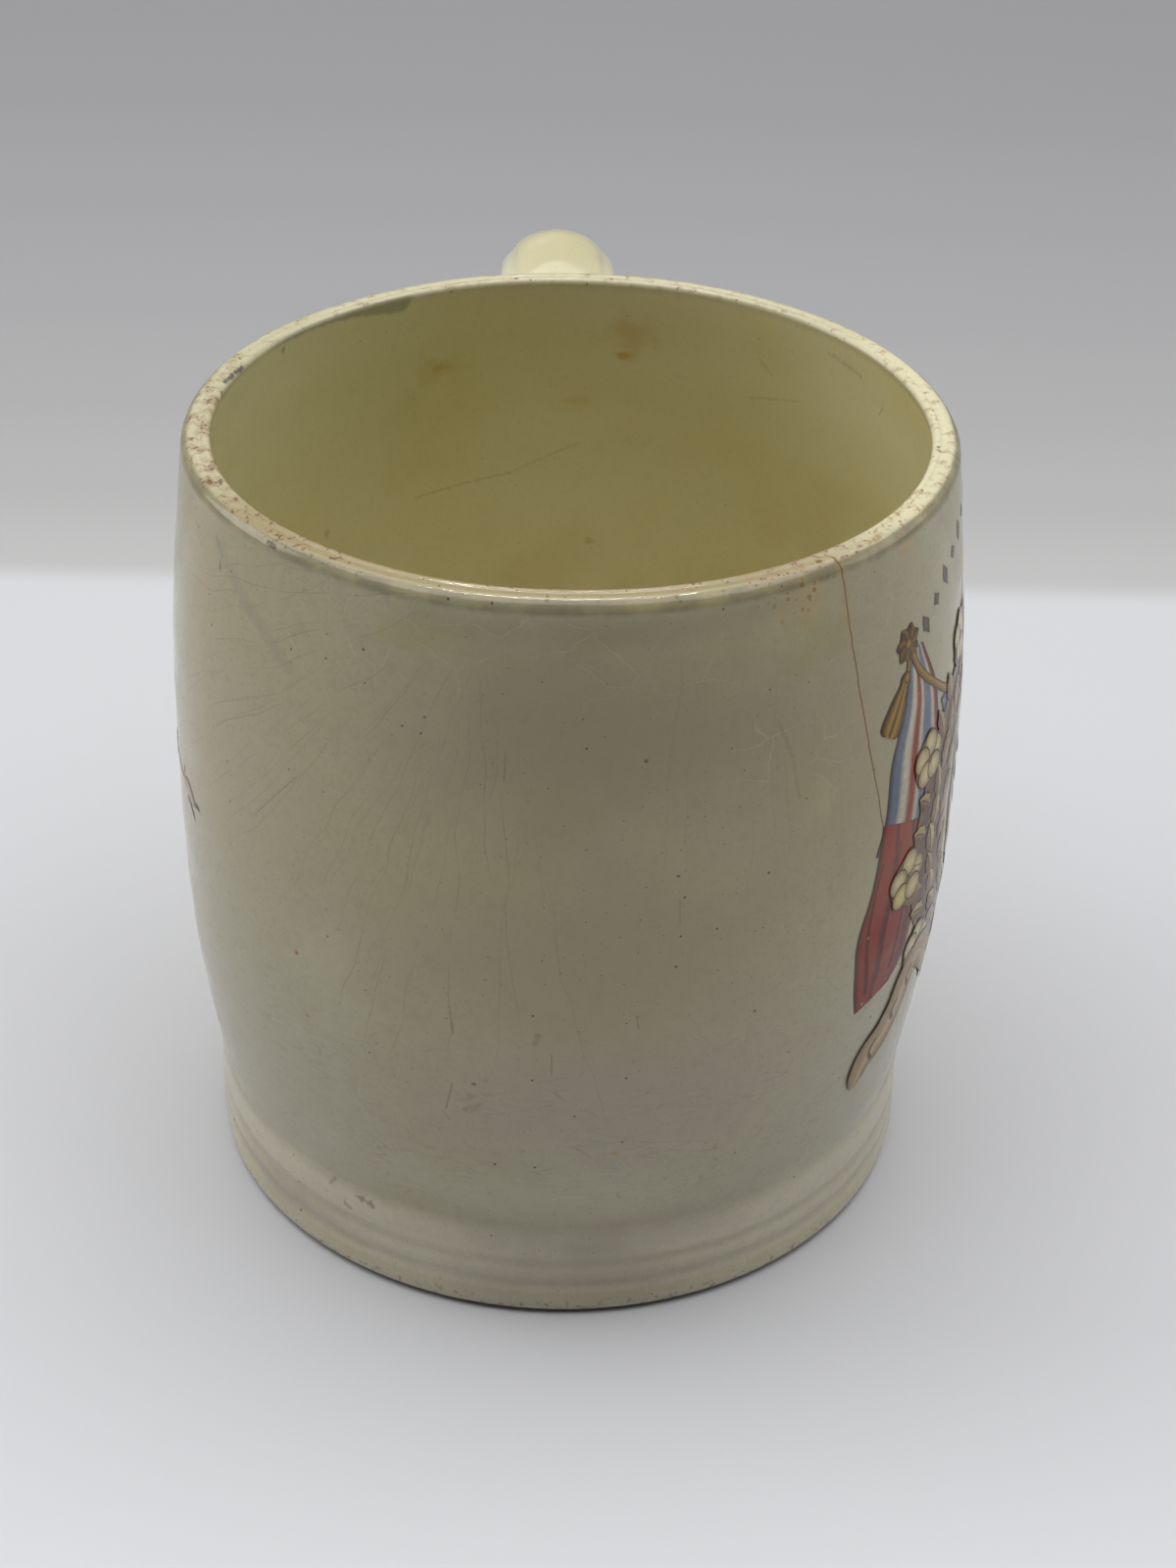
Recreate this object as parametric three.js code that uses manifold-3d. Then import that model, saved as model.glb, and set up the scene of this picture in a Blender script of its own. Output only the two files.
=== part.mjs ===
// Barrel-shaped earthenware mug with a strap handle luted to its wall.
// Millimetres, +Z up, the table at z = 0, the handle towards +Y.
// The mug is modelled round its own axis and then moved, so that the origin
// lies on the table in the middle of the whole object's footprint.

import * as THREE from 'three';
import { mergeVertices } from 'three/addons/utils/BufferGeometryUtils.js';
import Module from 'manifold-3d';

const wasm = await Module();
wasm.setup();

// Barrel: outside radii and the heights they are measured at
const cupHeight = 80;
const bellyRadius = 38.75;
const bellyHeight = 41.4;
const neckRadius = 36.45;
const waistRadius = 35.9;
const wallThickness = 2.8;

// How far the barrel's curve keeps the direction it has at the belly, the waist and the neck
const lowerBulge = 15.8;
const lowerFlare = 3.5;
const lowerFlareOut = 0.5;
const upperBulge = 15;
const upperTaper = 16;
const upperTaperOut = 1.7;

// Lip, with the largest share of the wall that each of its two rounds may take
const lipOuterRound = 1.4;
const lipInnerRound = 0.6;
const outerRoundShare = 0.55;
const innerRoundShare = 0.4;

// Foot band, its two turned grooves and the recessed underside
const footRadius = 36.1;
const footBandHeight = 10.95;
const footEdgeRound = 1.5;
const bandTopRound = 2.2;
const bandTopFullness = 0.6;
const lowerGrooveHeight = 3.95;
const upperGrooveHeight = 6.5;
const grooveDepth = 0.36;
const grooveWidth = 2;
const footRingInner = 31;
const recessDepth = 1.6;
const recessSlope = 1.2;
const floorThickness = 4;
const floorFillet = 7;

// Handle: where its middle line meets the wall, and how it loops out
const upperJointBelowRim = 10.4;
const lowerJointHeight = 24;
const handleReach = 27.2;
const outermostHeight = 54;
const upperRise = 10.7;
const upperRun = 10.5;
const shoulderLift = 17.5;
const elbowDrop = 15;
const lowerRun = 13;
const lowerRise = 2.6;

// Strap section: crowned outside, nearly flat inside, a little narrower at the middle of the
// loop. The powers bend the section's sides: above 1 to a peak, below 1 to a square.
const strapWidth = 13.1;
const strapMiddleWidth = 11.4;
const strapCrown = 4.6;
const strapBack = 2.2;
const crownPower = 1.2;
const backPower = 0.7;

// Luted joints: slip squeezed out round each end of the strap and wiped to a fillet
const jointClearance = 0.3;
const slipReach = 2.4;
const slipFlare = 2;
const slipEdge = 0.55;

// How finely the round forms are faceted
const turns = 64;
const sectionSides = 28;
const strapSteps = 34;
const slipSteps = 4;
const barrelSteps = 9;
const insideSteps = 7;
const roundSteps = 4;
const filletSteps = 5;
const bandTopSteps = 3;

// How closely a point on a curve is searched, and how near two corners are one
const searchSteps = 30;
const weldDistance = 1e-4;

const creamGlaze = { color: 0xe9e4c6, roughness: 0.22, metalness: 0 };
const handleGlaze = { color: 0xe8e2c0, roughness: 0.22, metalness: 0 };
const slipGlaze = { color: 0xe4ddb8, roughness: 0.26, metalness: 0 };

// The strap's buried tail, and the stretch from its end that holds a whole joint
const tailLength = strapCrown + strapBack + slipReach;
const tailsPerJoint = 2.2;
const jointStretch = tailsPerJoint * tailLength;

// Derived heights and radii
const floorTop = recessDepth + floorThickness;
const filletRadius = Math.min(floorFillet, bellyHeight - floorTop);
const filletTop = floorTop + filletRadius;
const upperJointHeight = cupHeight - upperJointBelowRim;
const outerRound = Math.min(lipOuterRound, wallThickness * outerRoundShare);
const innerRound = Math.min(lipInnerRound, wallThickness * innerRoundShare);

// Points of a curve without its last one, so that runs can be chained
function run(curve, steps) {
  return curve.getPoints(steps).slice(0, -1);
}

function point(r, z) {
  return new THREE.Vector2(r, z);
}

// Quarter round between two directions, given in degrees
function round(r, z, radius, from, to, steps) {
  const toRadians = Math.PI / 180;
  const clockwise = to < from;
  const arc = new THREE.EllipseCurve(r, z, radius, radius, from * toRadians, to * toRadians, clockwise);
  return run(arc, steps);
}

// The barrel's outline from the waist to the belly, and from the belly to the neck
function lowerBarrel(inset) {
  return new THREE.CubicBezierCurve(
    point(waistRadius - inset, footBandHeight),
    point(waistRadius + lowerFlareOut - inset, footBandHeight + lowerFlare),
    point(bellyRadius - inset, bellyHeight - lowerBulge),
    point(bellyRadius - inset, bellyHeight),
  );
}

function upperBarrel(inset, top) {
  return new THREE.CubicBezierCurve(
    point(bellyRadius - inset, bellyHeight),
    point(bellyRadius - inset, bellyHeight + upperBulge),
    point(neckRadius + upperTaperOut - inset, top - upperTaper),
    point(neckRadius - inset, top),
  );
}

// A shallow turned groove across the foot band
function groove(height) {
  const sides = [-0.5, -0.25, 0, 0.25, 0.5];
  return sides.map((t) => point(
    footRadius - grooveDepth * 0.5 * (1 + Math.cos(2 * Math.PI * t)),
    height + grooveWidth * t,
  ));
}

// Outside of the mug from the middle of its underside up to the lip
function outsideOutline() {
  const footEdge = footRadius - footEdgeRound;
  return [
    point(0, recessDepth),
    point(footRingInner - recessSlope, recessDepth),
    point(footRingInner, 0),
    ...round(footEdge, footEdgeRound, footEdgeRound, -90, 0, roundSteps),
    point(footRadius, footEdgeRound),
    ...groove(lowerGrooveHeight),
    ...groove(upperGrooveHeight),
    ...run(bandTop(), bandTopSteps),
    ...run(lowerBarrel(0), barrelSteps),
    ...run(upperBarrel(0, cupHeight - outerRound), barrelSteps),
  ];
}

// Soft shoulder where the foot band falls back to the waist
function bandTop() {
  return new THREE.QuadraticBezierCurve(
    point(footRadius, footBandHeight - bandTopRound),
    point(footRadius, footBandHeight - bandTopRound * (1 - bandTopFullness)),
    point(waistRadius, footBandHeight),
  );
}

// Inside of the mug from the lip down to the middle of its floor
function insideOutline() {
  const inside = upperBarrel(wallThickness, cupHeight - innerRound);
  const down = inside.getPoints(insideSteps).reverse();
  const below = lowerInside().getPoints(insideSteps).reverse();
  const filletCentre = below[below.length - 1].x - filletRadius;
  return [
    ...down.slice(0, -1),
    ...below.slice(0, -1),
    ...round(filletCentre, filletTop, filletRadius, 0, -90, filletSteps),
    point(filletCentre, floorTop),
    point(0, floorTop),
  ];
}

function lowerInside() {
  return new THREE.CubicBezierCurve(
    point(waistRadius - wallThickness, filletTop),
    point(waistRadius + lowerFlareOut - wallThickness, filletTop + lowerFlare),
    point(bellyRadius - wallThickness, bellyHeight - lowerBulge),
    point(bellyRadius - wallThickness, bellyHeight),
  );
}

function lip() {
  const outerCentre = neckRadius - outerRound;
  const innerCentre = neckRadius - wallThickness + innerRound;
  return [
    ...round(outerCentre, cupHeight - outerRound, outerRound, 0, 90, roundSteps),
    point(outerCentre, cupHeight),
    ...round(innerCentre, cupHeight - innerRound, innerRound, 90, 180, roundSteps),
  ];
}

// Turns an outline round the mug's axis, with +Z up
function revolve(outline) {
  return new THREE.LatheGeometry(outline, turns).rotateX(Math.PI / 2);
}

// Closed surface with shared corners and without the collapsed faces at the axis
function closed(geometry) {
  const bare = new THREE.BufferGeometry();
  bare.setAttribute('position', geometry.getAttribute('position'));
  bare.setIndex(geometry.getIndex());
  const merged = mergeVertices(bare, weldDistance);
  const corners = merged.getIndex().array;
  const faces = [];
  for (let i = 0; i < corners.length; i += 3) {
    const [a, b, c] = [corners[i], corners[i + 1], corners[i + 2]];
    if (a !== b && b !== c && c !== a) faces.push(a, b, c);
  }
  merged.setIndex(faces);
  return merged;
}

function toSolid(geometry) {
  const surface = closed(geometry);
  return new wasm.Manifold(new wasm.Mesh({
    numProp: 3,
    vertProperties: new Float32Array(surface.getAttribute('position').array),
    triVerts: new Uint32Array(surface.getIndex().array),
  }));
}

function toGeometry(solid) {
  const mesh = solid.getMesh();
  const geometry = new THREE.BufferGeometry();
  geometry.setAttribute('position', new THREE.BufferAttribute(mesh.vertProperties, 3));
  geometry.setIndex(new THREE.BufferAttribute(mesh.triVerts, 1));
  geometry.computeVertexNormals();
  return geometry;
}

// Everything inside the barrel's outer surface moved out by a distance
function barrelBlank(offset) {
  const outline = [
    point(0, footBandHeight),
    ...run(lowerBarrel(-offset), barrelSteps),
    ...upperBarrel(-offset, cupHeight - outerRound).getPoints(barrelSteps),
    point(neckRadius + offset, cupHeight + offset),
    point(0, cupHeight + offset),
  ];
  return toSolid(revolve(outline));
}

// Outside radius of the barrel at a height
function barrelRadius(height) {
  const half = height < bellyHeight ? lowerBarrel(0) : upperBarrel(0, cupHeight - outerRound);
  let low = 0;
  let high = 1;
  for (let i = 0; i < searchSteps; i += 1) {
    const middle = (low + high) / 2;
    if (half.getPoint(middle).y < height) low = middle;
    else high = middle;
  }
  return half.getPoint(low).x;
}

// A point moved along a direction
function moved(spot, direction, distance) {
  return spot.clone().addScaledVector(direction, distance);
}

// Middle line of the strap in the plane x = 0: up from the upper joint, over the crest,
// round the outermost point and in to the lower joint, with straight tails that run on
// into the barrel, where its surface trims the strap
function handleLine() {
  const at = (y, z) => new THREE.Vector3(0, y, z);
  const outermostY = bellyRadius + handleReach - strapCrown;
  const upperJoint = at(barrelRadius(upperJointHeight), upperJointHeight);
  const lowerJoint = at(barrelRadius(lowerJointHeight), lowerJointHeight);
  const leaving = at(upperJoint.y + upperRun, upperJoint.z + upperRise);
  const arriving = at(lowerJoint.y + lowerRun, lowerJoint.z + lowerRise);
  const outermost = at(outermostY, outermostHeight);
  const line = new THREE.CurvePath();
  line.add(new THREE.LineCurve3(tail(upperJoint, leaving), upperJoint));
  line.add(new THREE.CubicBezierCurve3(
    upperJoint,
    leaving,
    at(outermostY, outermostHeight + shoulderLift),
    outermost,
  ));
  line.add(new THREE.CubicBezierCurve3(
    outermost,
    at(outermostY, outermostHeight - elbowDrop),
    arriving,
    lowerJoint,
  ));
  line.add(new THREE.LineCurve3(lowerJoint, tail(lowerJoint, arriving)));
  return line;
}

// Point that lies a tail's length behind a joint, on the line from its neighbour
function tail(joint, neighbour) {
  return moved(joint, neighbour.clone().sub(joint).normalize(), -tailLength);
}

// Strap section as offsets across the strap (x) and out of the loop (y)
function strapSection(width) {
  const offsets = [];
  for (let i = 0; i < sectionSides; i += 1) {
    const angle = (i / sectionSides) * 2 * Math.PI;
    const across = Math.cos(angle);
    const out = Math.sin(angle);
    const power = out < 0 ? backPower : crownPower;
    offsets.push(point(
      (width / 2) * Math.sign(across) * Math.abs(across) ** power,
      out < 0 ? strapBack * out : strapCrown * out,
    ));
  }
  return offsets;
}

// Skin over rings of equal count, with a fan at each end unless the last ring is the first
function loft(rings, capped = true) {
  const count = rings[0].length;
  const positions = [];
  const faces = [];
  rings.forEach((ring) => ring.forEach((corner) => positions.push(corner.x, corner.y, corner.z)));
  for (let step = 0; step < rings.length - 1; step += 1) {
    for (let i = 0; i < count; i += 1) {
      const next = (i + 1) % count;
      const [a, b] = [step * count + i, step * count + next];
      const [c, d] = [a + count, b + count];
      faces.push(a, c, b, b, c, d);
    }
  }
  const last = (rings.length - 1) * count;
  for (let i = 1; capped && i < count - 1; i += 1) {
    faces.push(0, i, i + 1);
    faces.push(last, last + i + 1, last + i);
  }
  const geometry = new THREE.BufferGeometry();
  geometry.setAttribute('position', new THREE.Float32BufferAttribute(positions, 3));
  geometry.setIndex(faces);
  return geometry;
}

// Strap width along the loop: full at both joints, narrower half way
function widthAt(share) {
  return strapWidth - (strapWidth - strapMiddleWidth) * Math.sin(Math.PI * share) ** 2;
}

// Corners of the strap square to its middle line, each with its direction out of the strap
function strapCorners(line, share) {
  const centre = line.getPointAt(share);
  const along = line.getTangentAt(share);
  const out = new THREE.Vector3(0, -along.z, along.y);
  return strapSection(widthAt(share)).map((offset) => {
    const reach = new THREE.Vector3(offset.x, out.y * offset.y, out.z * offset.y);
    return { spot: centre.clone().add(reach), outward: reach.clone().normalize() };
  });
}

function strap(line) {
  const rings = [];
  for (let i = 0; i <= strapSteps; i += 1) {
    rings.push(strapCorners(line, i / strapSteps).map((corner) => corner.spot));
  }
  return toSolid(loft(rings));
}

// Distance of a point from the barrel's outer surface, measured level
function offTheWall(spot) {
  return Math.hypot(spot.x, spot.y) - barrelRadius(spot.z);
}

// The point moved level to a distance off the barrel's outer surface
function toTheWall(spot, distance) {
  const factor = (barrelRadius(spot.z) + distance) / Math.hypot(spot.x, spot.y);
  return new THREE.Vector3(spot.x * factor, spot.y * factor, spot.z);
}

// Where one corner of the strap stands a distance off the wall, searched from a joint's
// buried end to its free end
function cornerOffTheWall(line, side, buried, free, distance) {
  let near = buried;
  let far = free;
  for (let i = 0; i < searchSteps; i += 1) {
    const middle = (near + far) / 2;
    if (offTheWall(strapCorners(line, middle)[side].spot) < distance) near = middle;
    else far = middle;
  }
  return strapCorners(line, near)[side];
}

// One slice of the slip beside one corner of the strap: up the strap, out over the edge,
// down the concave fillet and back along the wall
function slipSlice(line, side, buried, free) {
  const root = cornerOffTheWall(line, side, buried, free, jointClearance);
  const top = cornerOffTheWall(line, side, buried, free, slipReach);
  const innerFoot = toTheWall(moved(root.spot, root.outward, jointClearance), jointClearance);
  const innerTop = moved(top.spot, top.outward, jointClearance);
  const outerTop = moved(innerTop, top.outward, slipEdge);
  const normal = new THREE.Vector3(root.spot.x, root.spot.y, 0).normalize();
  const alongWall = moved(root.outward, normal, -normal.dot(root.outward)).normalize();
  const outerFoot = toTheWall(moved(innerFoot, alongWall, slipEdge + slipFlare), jointClearance);
  const hollow = toTheWall(moved(innerFoot, alongWall, slipEdge), 2 * jointClearance);
  const fillet = new THREE.QuadraticBezierCurve3(outerTop, hollow, outerFoot);
  return [innerFoot, innerTop, ...fillet.getPoints(slipSteps)];
}

// Ring of slip round one end of the strap; seen from the wall, the strap's corners run
// the other way round at its far end, so the slices there are taken in reverse
function slipRing(line, buried, free) {
  const slices = [];
  for (let side = 0; side < sectionSides; side += 1) {
    slices.push(slipSlice(line, side, buried, free));
  }
  if (buried > free) slices.reverse();
  return loft([...slices, slices[0]], false);
}

function piece(name, geometry, finish) {
  const mesh = new THREE.Mesh(geometry, new THREE.MeshStandardMaterial(finish));
  mesh.name = name;
  return mesh;
}

const cup = new THREE.Group();
const line = handleLine();
const jointShare = jointStretch / line.getLength();

const bodyOutline = [...outsideOutline(), ...lip(), ...insideOutline()];
cup.add(piece('body', closed(revolve(bodyOutline)), creamGlaze));

const trimmedStrap = strap(line).subtract(barrelBlank(jointClearance));
cup.add(piece('handle', toGeometry(trimmedStrap), handleGlaze));

const upperSlip = slipRing(line, 0, jointShare);
const lowerSlip = slipRing(line, 1, 1 - jointShare);
cup.add(piece('upper_joint_slip', closed(upperSlip), slipGlaze));
cup.add(piece('lower_joint_slip', closed(lowerSlip), slipGlaze));

// The origin goes to the middle of the footprint, which the handle draws away from the
// barrel's axis
const footprint = new THREE.Box3().setFromObject(cup);
cup.position.y = -(footprint.min.y + footprint.max.y) / 2;

export default cup;
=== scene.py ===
import bpy
import math
import random
import numpy as np
from mathutils import Matrix, Vector


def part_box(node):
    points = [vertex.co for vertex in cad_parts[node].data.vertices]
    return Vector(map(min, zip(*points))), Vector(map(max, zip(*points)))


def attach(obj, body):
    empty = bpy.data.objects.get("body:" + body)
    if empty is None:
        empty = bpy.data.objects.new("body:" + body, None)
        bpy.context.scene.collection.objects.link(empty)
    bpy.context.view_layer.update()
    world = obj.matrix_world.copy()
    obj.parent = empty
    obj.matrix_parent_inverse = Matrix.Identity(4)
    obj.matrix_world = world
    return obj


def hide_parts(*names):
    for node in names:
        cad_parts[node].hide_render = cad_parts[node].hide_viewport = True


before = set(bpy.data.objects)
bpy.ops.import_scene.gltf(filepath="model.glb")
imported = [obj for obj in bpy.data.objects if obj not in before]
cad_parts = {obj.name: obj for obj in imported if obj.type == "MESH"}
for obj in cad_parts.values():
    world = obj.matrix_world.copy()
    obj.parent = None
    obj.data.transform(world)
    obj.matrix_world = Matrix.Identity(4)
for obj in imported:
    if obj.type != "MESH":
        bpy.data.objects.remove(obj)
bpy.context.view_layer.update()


# Camera
# It stands in front of the cup and looks down over the near lip into it. Its lens, place
# and lean are those at which the cup's outline falls as in the photograph.
MM = 0.001
body_low, body_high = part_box("body")
cup_axis = Vector(((body_low[0] + body_high[0]) / 2, (body_low[1] + body_high[1]) / 2, 0))
camera_back = 235.1 * MM
camera_up = 189.5 * MM
look_down = 0.5694
look_right = 0.0101
lean = 0.0245
handle_turn = math.radians(-2.2)

ahead = Vector((
    math.sin(look_right) * math.cos(look_down),
    math.cos(look_right) * math.cos(look_down),
    -math.sin(look_down),
))
level_right = Vector((math.cos(look_right), -math.sin(look_right), 0))
level_up = level_right.cross(ahead)
leaned_right = level_right * math.cos(lean) + level_up * math.sin(lean)
leaned_up = level_up * math.cos(lean) - level_right * math.sin(lean)
from_camera = Matrix((leaned_right, leaned_up, -ahead)).transposed().to_4x4()
round_the_cup = Matrix.Translation(cup_axis) @ Matrix.Rotation(handle_turn, 4, "Z")

camera_data = bpy.data.cameras.new("camera")
camera_data.lens = 63
camera_data.sensor_width = 36
camera_data.clip_start = 10 * MM
camera_data.clip_end = 20
camera = bpy.data.objects.new("camera", camera_data)
bpy.context.scene.collection.objects.link(camera)
camera.matrix_world = (
    round_the_cup @ Matrix.Translation((0, -camera_back, camera_up)) @ from_camera
)
bpy.context.scene.camera = camera
bpy.context.scene.view_settings.view_transform = "Standard"


# Tabletop and backdrop
# One flat, pale sheet of paper under and behind the cup, with painted light and shade in its
# colour:
# lighter in front of the cup, then a painted step to shade where a backdrop would rise behind
# the handle, falling off to a mid grey further back.
floor_reach = 3.0
floor_drop = 0.02 * MM
painted_floor_shading = (
    (-0.12, (228, 229, 232)),
    (-0.03, (217, 218, 222)),
    (0.03, (208, 209, 213)),
    (0.111, (209, 210, 213)),
    (0.1185, (187, 187, 187)),
    (0.145, (177, 177, 177)),
    (0.181, (170, 170, 171)),
    (0.222, (165, 165, 167)),
    (0.271, (161, 161, 163)),
    (0.33, (157, 157, 159)),
)
floor_ramp_start = -0.12
floor_ramp_reach = 0.52


def paint(red, green, blue):
    """A colour as it is seen on a screen, 0 to 255, as the light value that shaders use."""
    def light(level):
        share = level / 255
        return share / 12.92 if share <= 0.04045 else ((share + 0.055) / 1.055) ** 2.4
    return (light(red), light(green), light(blue), 1)


def add(tree, kind, **settings):
    node = tree.nodes.new("ShaderNode" + kind)
    for name, value in settings.items():
        setattr(node, name, value)
    return node


def feed(tree, node, values):
    """Gives a node's sockets their values, or links them where the value is a socket."""
    for name, value in values.items():
        if isinstance(value, bpy.types.NodeSocket):
            tree.links.new(value, node.inputs[name])
        else:
            node.inputs[name].default_value = value
    return node


def reckon(tree, operation, *values):
    node = add(tree, "Math", operation=operation)
    return feed(tree, node, dict(enumerate(values))).outputs[0]


def between(tree, value, low, high, at_low=0.0, at_high=1.0):
    """Runs softly from at_low to at_high while the value goes from low to high."""
    node = add(tree, "MapRange", interpolation_type="SMOOTHSTEP")
    feed(tree, node, {"Value": value, "From Min": low, "From Max": high})
    return feed(tree, node, {"To Min": at_low, "To Max": at_high}).outputs["Result"]


def mix(tree, share, first, second):
    node = add(tree, "Mix", data_type="RGBA")
    return feed(tree, node, {0: share, 6: first, 7: second}).outputs[2]


def parts(tree, place):
    """The X, Y and Z of a place, as sockets."""
    return feed(tree, add(tree, "SeparateXYZ"), {0: place}).outputs


def new_material(name):
    material = bpy.data.materials.new(name)
    material.use_nodes = True
    return material, material.node_tree, material.node_tree.nodes["Principled BSDF"]


floor_mesh = bpy.data.meshes.new("tabletop")
corners = [(-1, -1), (1, -1), (1, 1), (-1, 1)]
floor_mesh.from_pydata(
    [(x * floor_reach, y * floor_reach, -floor_drop) for x, y in corners], [], [(0, 1, 2, 3)]
)
floor = bpy.data.objects.new("tabletop", floor_mesh)
bpy.context.scene.collection.objects.link(floor)
floor.matrix_world = round_the_cup

paper, tree, shader = new_material("backdrop_paper")
place = add(tree, "TexCoord").outputs["Object"]
split = parts(tree, place)
how_far = reckon(tree, "SUBTRACT", split["Y"], floor_ramp_start)
how_far = reckon(tree, "DIVIDE", how_far, floor_ramp_reach)
shades = add(tree, "ValToRGB")
shades.color_ramp.interpolation = "EASE"
stops = shades.color_ramp.elements
stops[0].position = 0.0
stops[0].color = paint(*painted_floor_shading[0][1])
stops[1].position = (painted_floor_shading[-1][0] - floor_ramp_start) / floor_ramp_reach
stops[1].color = paint(*painted_floor_shading[-1][1])
for distance, shade in painted_floor_shading[1:-1]:
    stops.new((distance - floor_ramp_start) / floor_ramp_reach).color = paint(*shade)
feed(tree, shades, {"Fac": how_far})
feed(tree, shader, {
    "Base Color": shades.outputs["Color"], "Roughness": 0.7, "Specular IOR Level": 0.2,
})
floor_mesh.materials.append(paper)


# Lamps and room light
# A wide soft lamp hangs over the cup, and two more stand far out at its sides, the left one
# the stronger. A narrow strip, seen only in the glaze, draws the bright lines along the lip,
# and the room gives a little light from everywhere.
room_light = 0.05
room_behind = 0.34
room_seen = 0.8


def soft_lamp(name, spot, target, width, depth, power):
    data = bpy.data.lights.new(name, "AREA")
    data.shape = "RECTANGLE"
    data.size = width
    data.size_y = depth
    data.energy = power
    lamp = bpy.data.objects.new(name, data)
    bpy.context.scene.collection.objects.link(lamp)
    aim = (Vector(target) - Vector(spot)).to_track_quat("-Z", "Y").to_matrix().to_4x4()
    lamp.matrix_world = round_the_cup @ Matrix.Translation(spot) @ aim
    return lamp


soft_lamp("overhead_lamp", (0.0, 0.06, 0.85), (0, 0, 0.03), 1.4, 1.0, 9.4)
strip_lamp = soft_lamp("strip_lamp", (-0.02, 0.19, 0.84), (0, 0, 0.08), 0.44, 0.013, 1.8)
strip_lamp.visible_diffuse = False
soft_lamp("left_lamp", (-1.88, 0.5, 0.88), (0, 0, 0.04), 1.25, 1.25, 10.0)
soft_lamp("right_lamp", (1.88, 0.38, 0.75), (0, 0, 0.04), 1.25, 1.0, 3.75)

room = bpy.data.worlds.new("room")
bpy.context.scene.world = room
room.use_nodes = True
tree = room.node_tree
direction = add(tree, "TexCoord").outputs["Generated"]
split = parts(tree, direction)
around = between(tree, split["Y"], -0.6, 0.8, room_light, room_behind)
seen = add(tree, "LightPath").outputs["Is Camera Ray"]
strength = mix(tree, seen, around, (room_seen,) * 3 + (1,))
feed(tree, tree.nodes["Background"], {"Color": strength, "Strength": 1.0})


# Body of the cup
# Cream earthenware, turned to a barrel with a grooved foot band and a thick lip, then dipped
# in a clear yellowish glaze that has crazed, stained and worn with use.
cup_height = 80
belly_radius = 38.75
belly_height = 41.4
neck_radius = 36.45
waist_radius = 35.9
wall = 2.8
lower_bulge = 15.8
lower_flare = 3.5
lower_flare_out = 0.5
upper_bulge = 15
upper_taper = 16
upper_taper_out = 1.7
lip_outer_round = 1.4
lip_inner_round = 0.6
lip_dip = 0.14
lip_arc_steps = 12
lip_top_steps = 12
foot_radius = 36.1
foot_band = 10.95
foot_edge_round = 1.5
band_top_round = 2.2
band_top_fullness = 0.6
groove_heights = (3.95, 6.5)
groove_depth = 0.2
groove_width = 2.3
groove_points = 15
plain_over_grooves = 0.2
foot_ring_inner = 31
foot_ring_round = 0.15
recess_depth = 1.6
recess_slope = 1.2
inside_floor = 5.6
inside_fillet = 7
axis_gap = 0.01
turns = 300
nick_azimuth = 78.3
nick_width = 0.5
nick_depth = 0.3
nick_lean = 0.25
nick_middle = -0.6
nick_half_length = 1.1
nick_zone = 1.6
nick_steps = 21
nick_mm_per_degree = 0.646
nick_sharpness = 1.8
nick_inward = 0.3
outer_lip_start = cup_height - lip_outer_round
inner_lip_start = cup_height - lip_inner_round
mean_radius = 37.0
glaze_ior = 1.5
relief_unit = 1 * MM


def bezier(points, count):
    """Points of a Bezier curve without its last one."""
    rows = [np.array(p, float)[None, :] for p in points]
    t = (np.arange(count) / count)[:, None]
    while len(rows) > 1:
        rows = [a * (1 - t) + b * t for a, b in zip(rows, rows[1:])]
    return rows[0]


def arc(centre_r, centre_z, radius, start, stop, count):
    """Points of a round without its last one, angles in degrees from level."""
    angles = np.radians(start + (stop - start) * np.arange(count) / count)
    return np.stack([centre_r + radius * np.cos(angles), centre_z + radius * np.sin(angles)], 1)


def straight(first, last, count):
    return bezier([first, last], count)


def lower_barrel(inset, foot):
    return [
        (waist_radius - inset, foot),
        (waist_radius + lower_flare_out - inset, foot + lower_flare),
        (belly_radius - inset, belly_height - lower_bulge),
        (belly_radius - inset, belly_height),
    ]


def upper_barrel(inset, top):
    return [
        (belly_radius - inset, belly_height),
        (belly_radius - inset, belly_height + upper_bulge),
        (neck_radius + upper_taper_out - inset, top - upper_taper),
        (neck_radius - inset, top),
    ]


def turned_groove(height):
    share = np.linspace(-0.5, 0.5, groove_points)
    depth = groove_depth * 0.5 * (1 + np.cos(2 * np.pi * share))
    return np.stack([foot_radius - depth, height + groove_width * share], 1)


def outline_up_the_outside():
    recess_edge = foot_ring_inner - recess_slope
    foot_corner = foot_radius - foot_edge_round
    under_grooves = groove_heights[0] - groove_width / 2
    over_grooves = groove_heights[1] + groove_width / 2 + plain_over_grooves
    band_top = foot_band - band_top_round
    band_bend = foot_band - band_top_round * (1 - band_top_fullness)
    return np.concatenate([
        straight((axis_gap, recess_depth), (recess_edge, recess_depth), 12),
        straight((recess_edge, recess_depth), (foot_ring_inner, foot_ring_round), 4),
        straight((foot_ring_inner + foot_ring_round, 0), (foot_corner, 0), 6),
        arc(foot_corner, foot_edge_round, foot_edge_round, -90, 0, 9),
        straight((foot_radius, foot_edge_round), (foot_radius, under_grooves), 3),
        turned_groove(groove_heights[0]),
        turned_groove(groove_heights[1]),
        straight((foot_radius, over_grooves), (foot_radius, band_top), 5),
        bezier([(foot_radius, band_top), (foot_radius, band_bend), (waist_radius, foot_band)], 10),
        bezier(lower_barrel(0, foot_band), 46),
        bezier(upper_barrel(0, outer_lip_start), 46),
    ])


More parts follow.
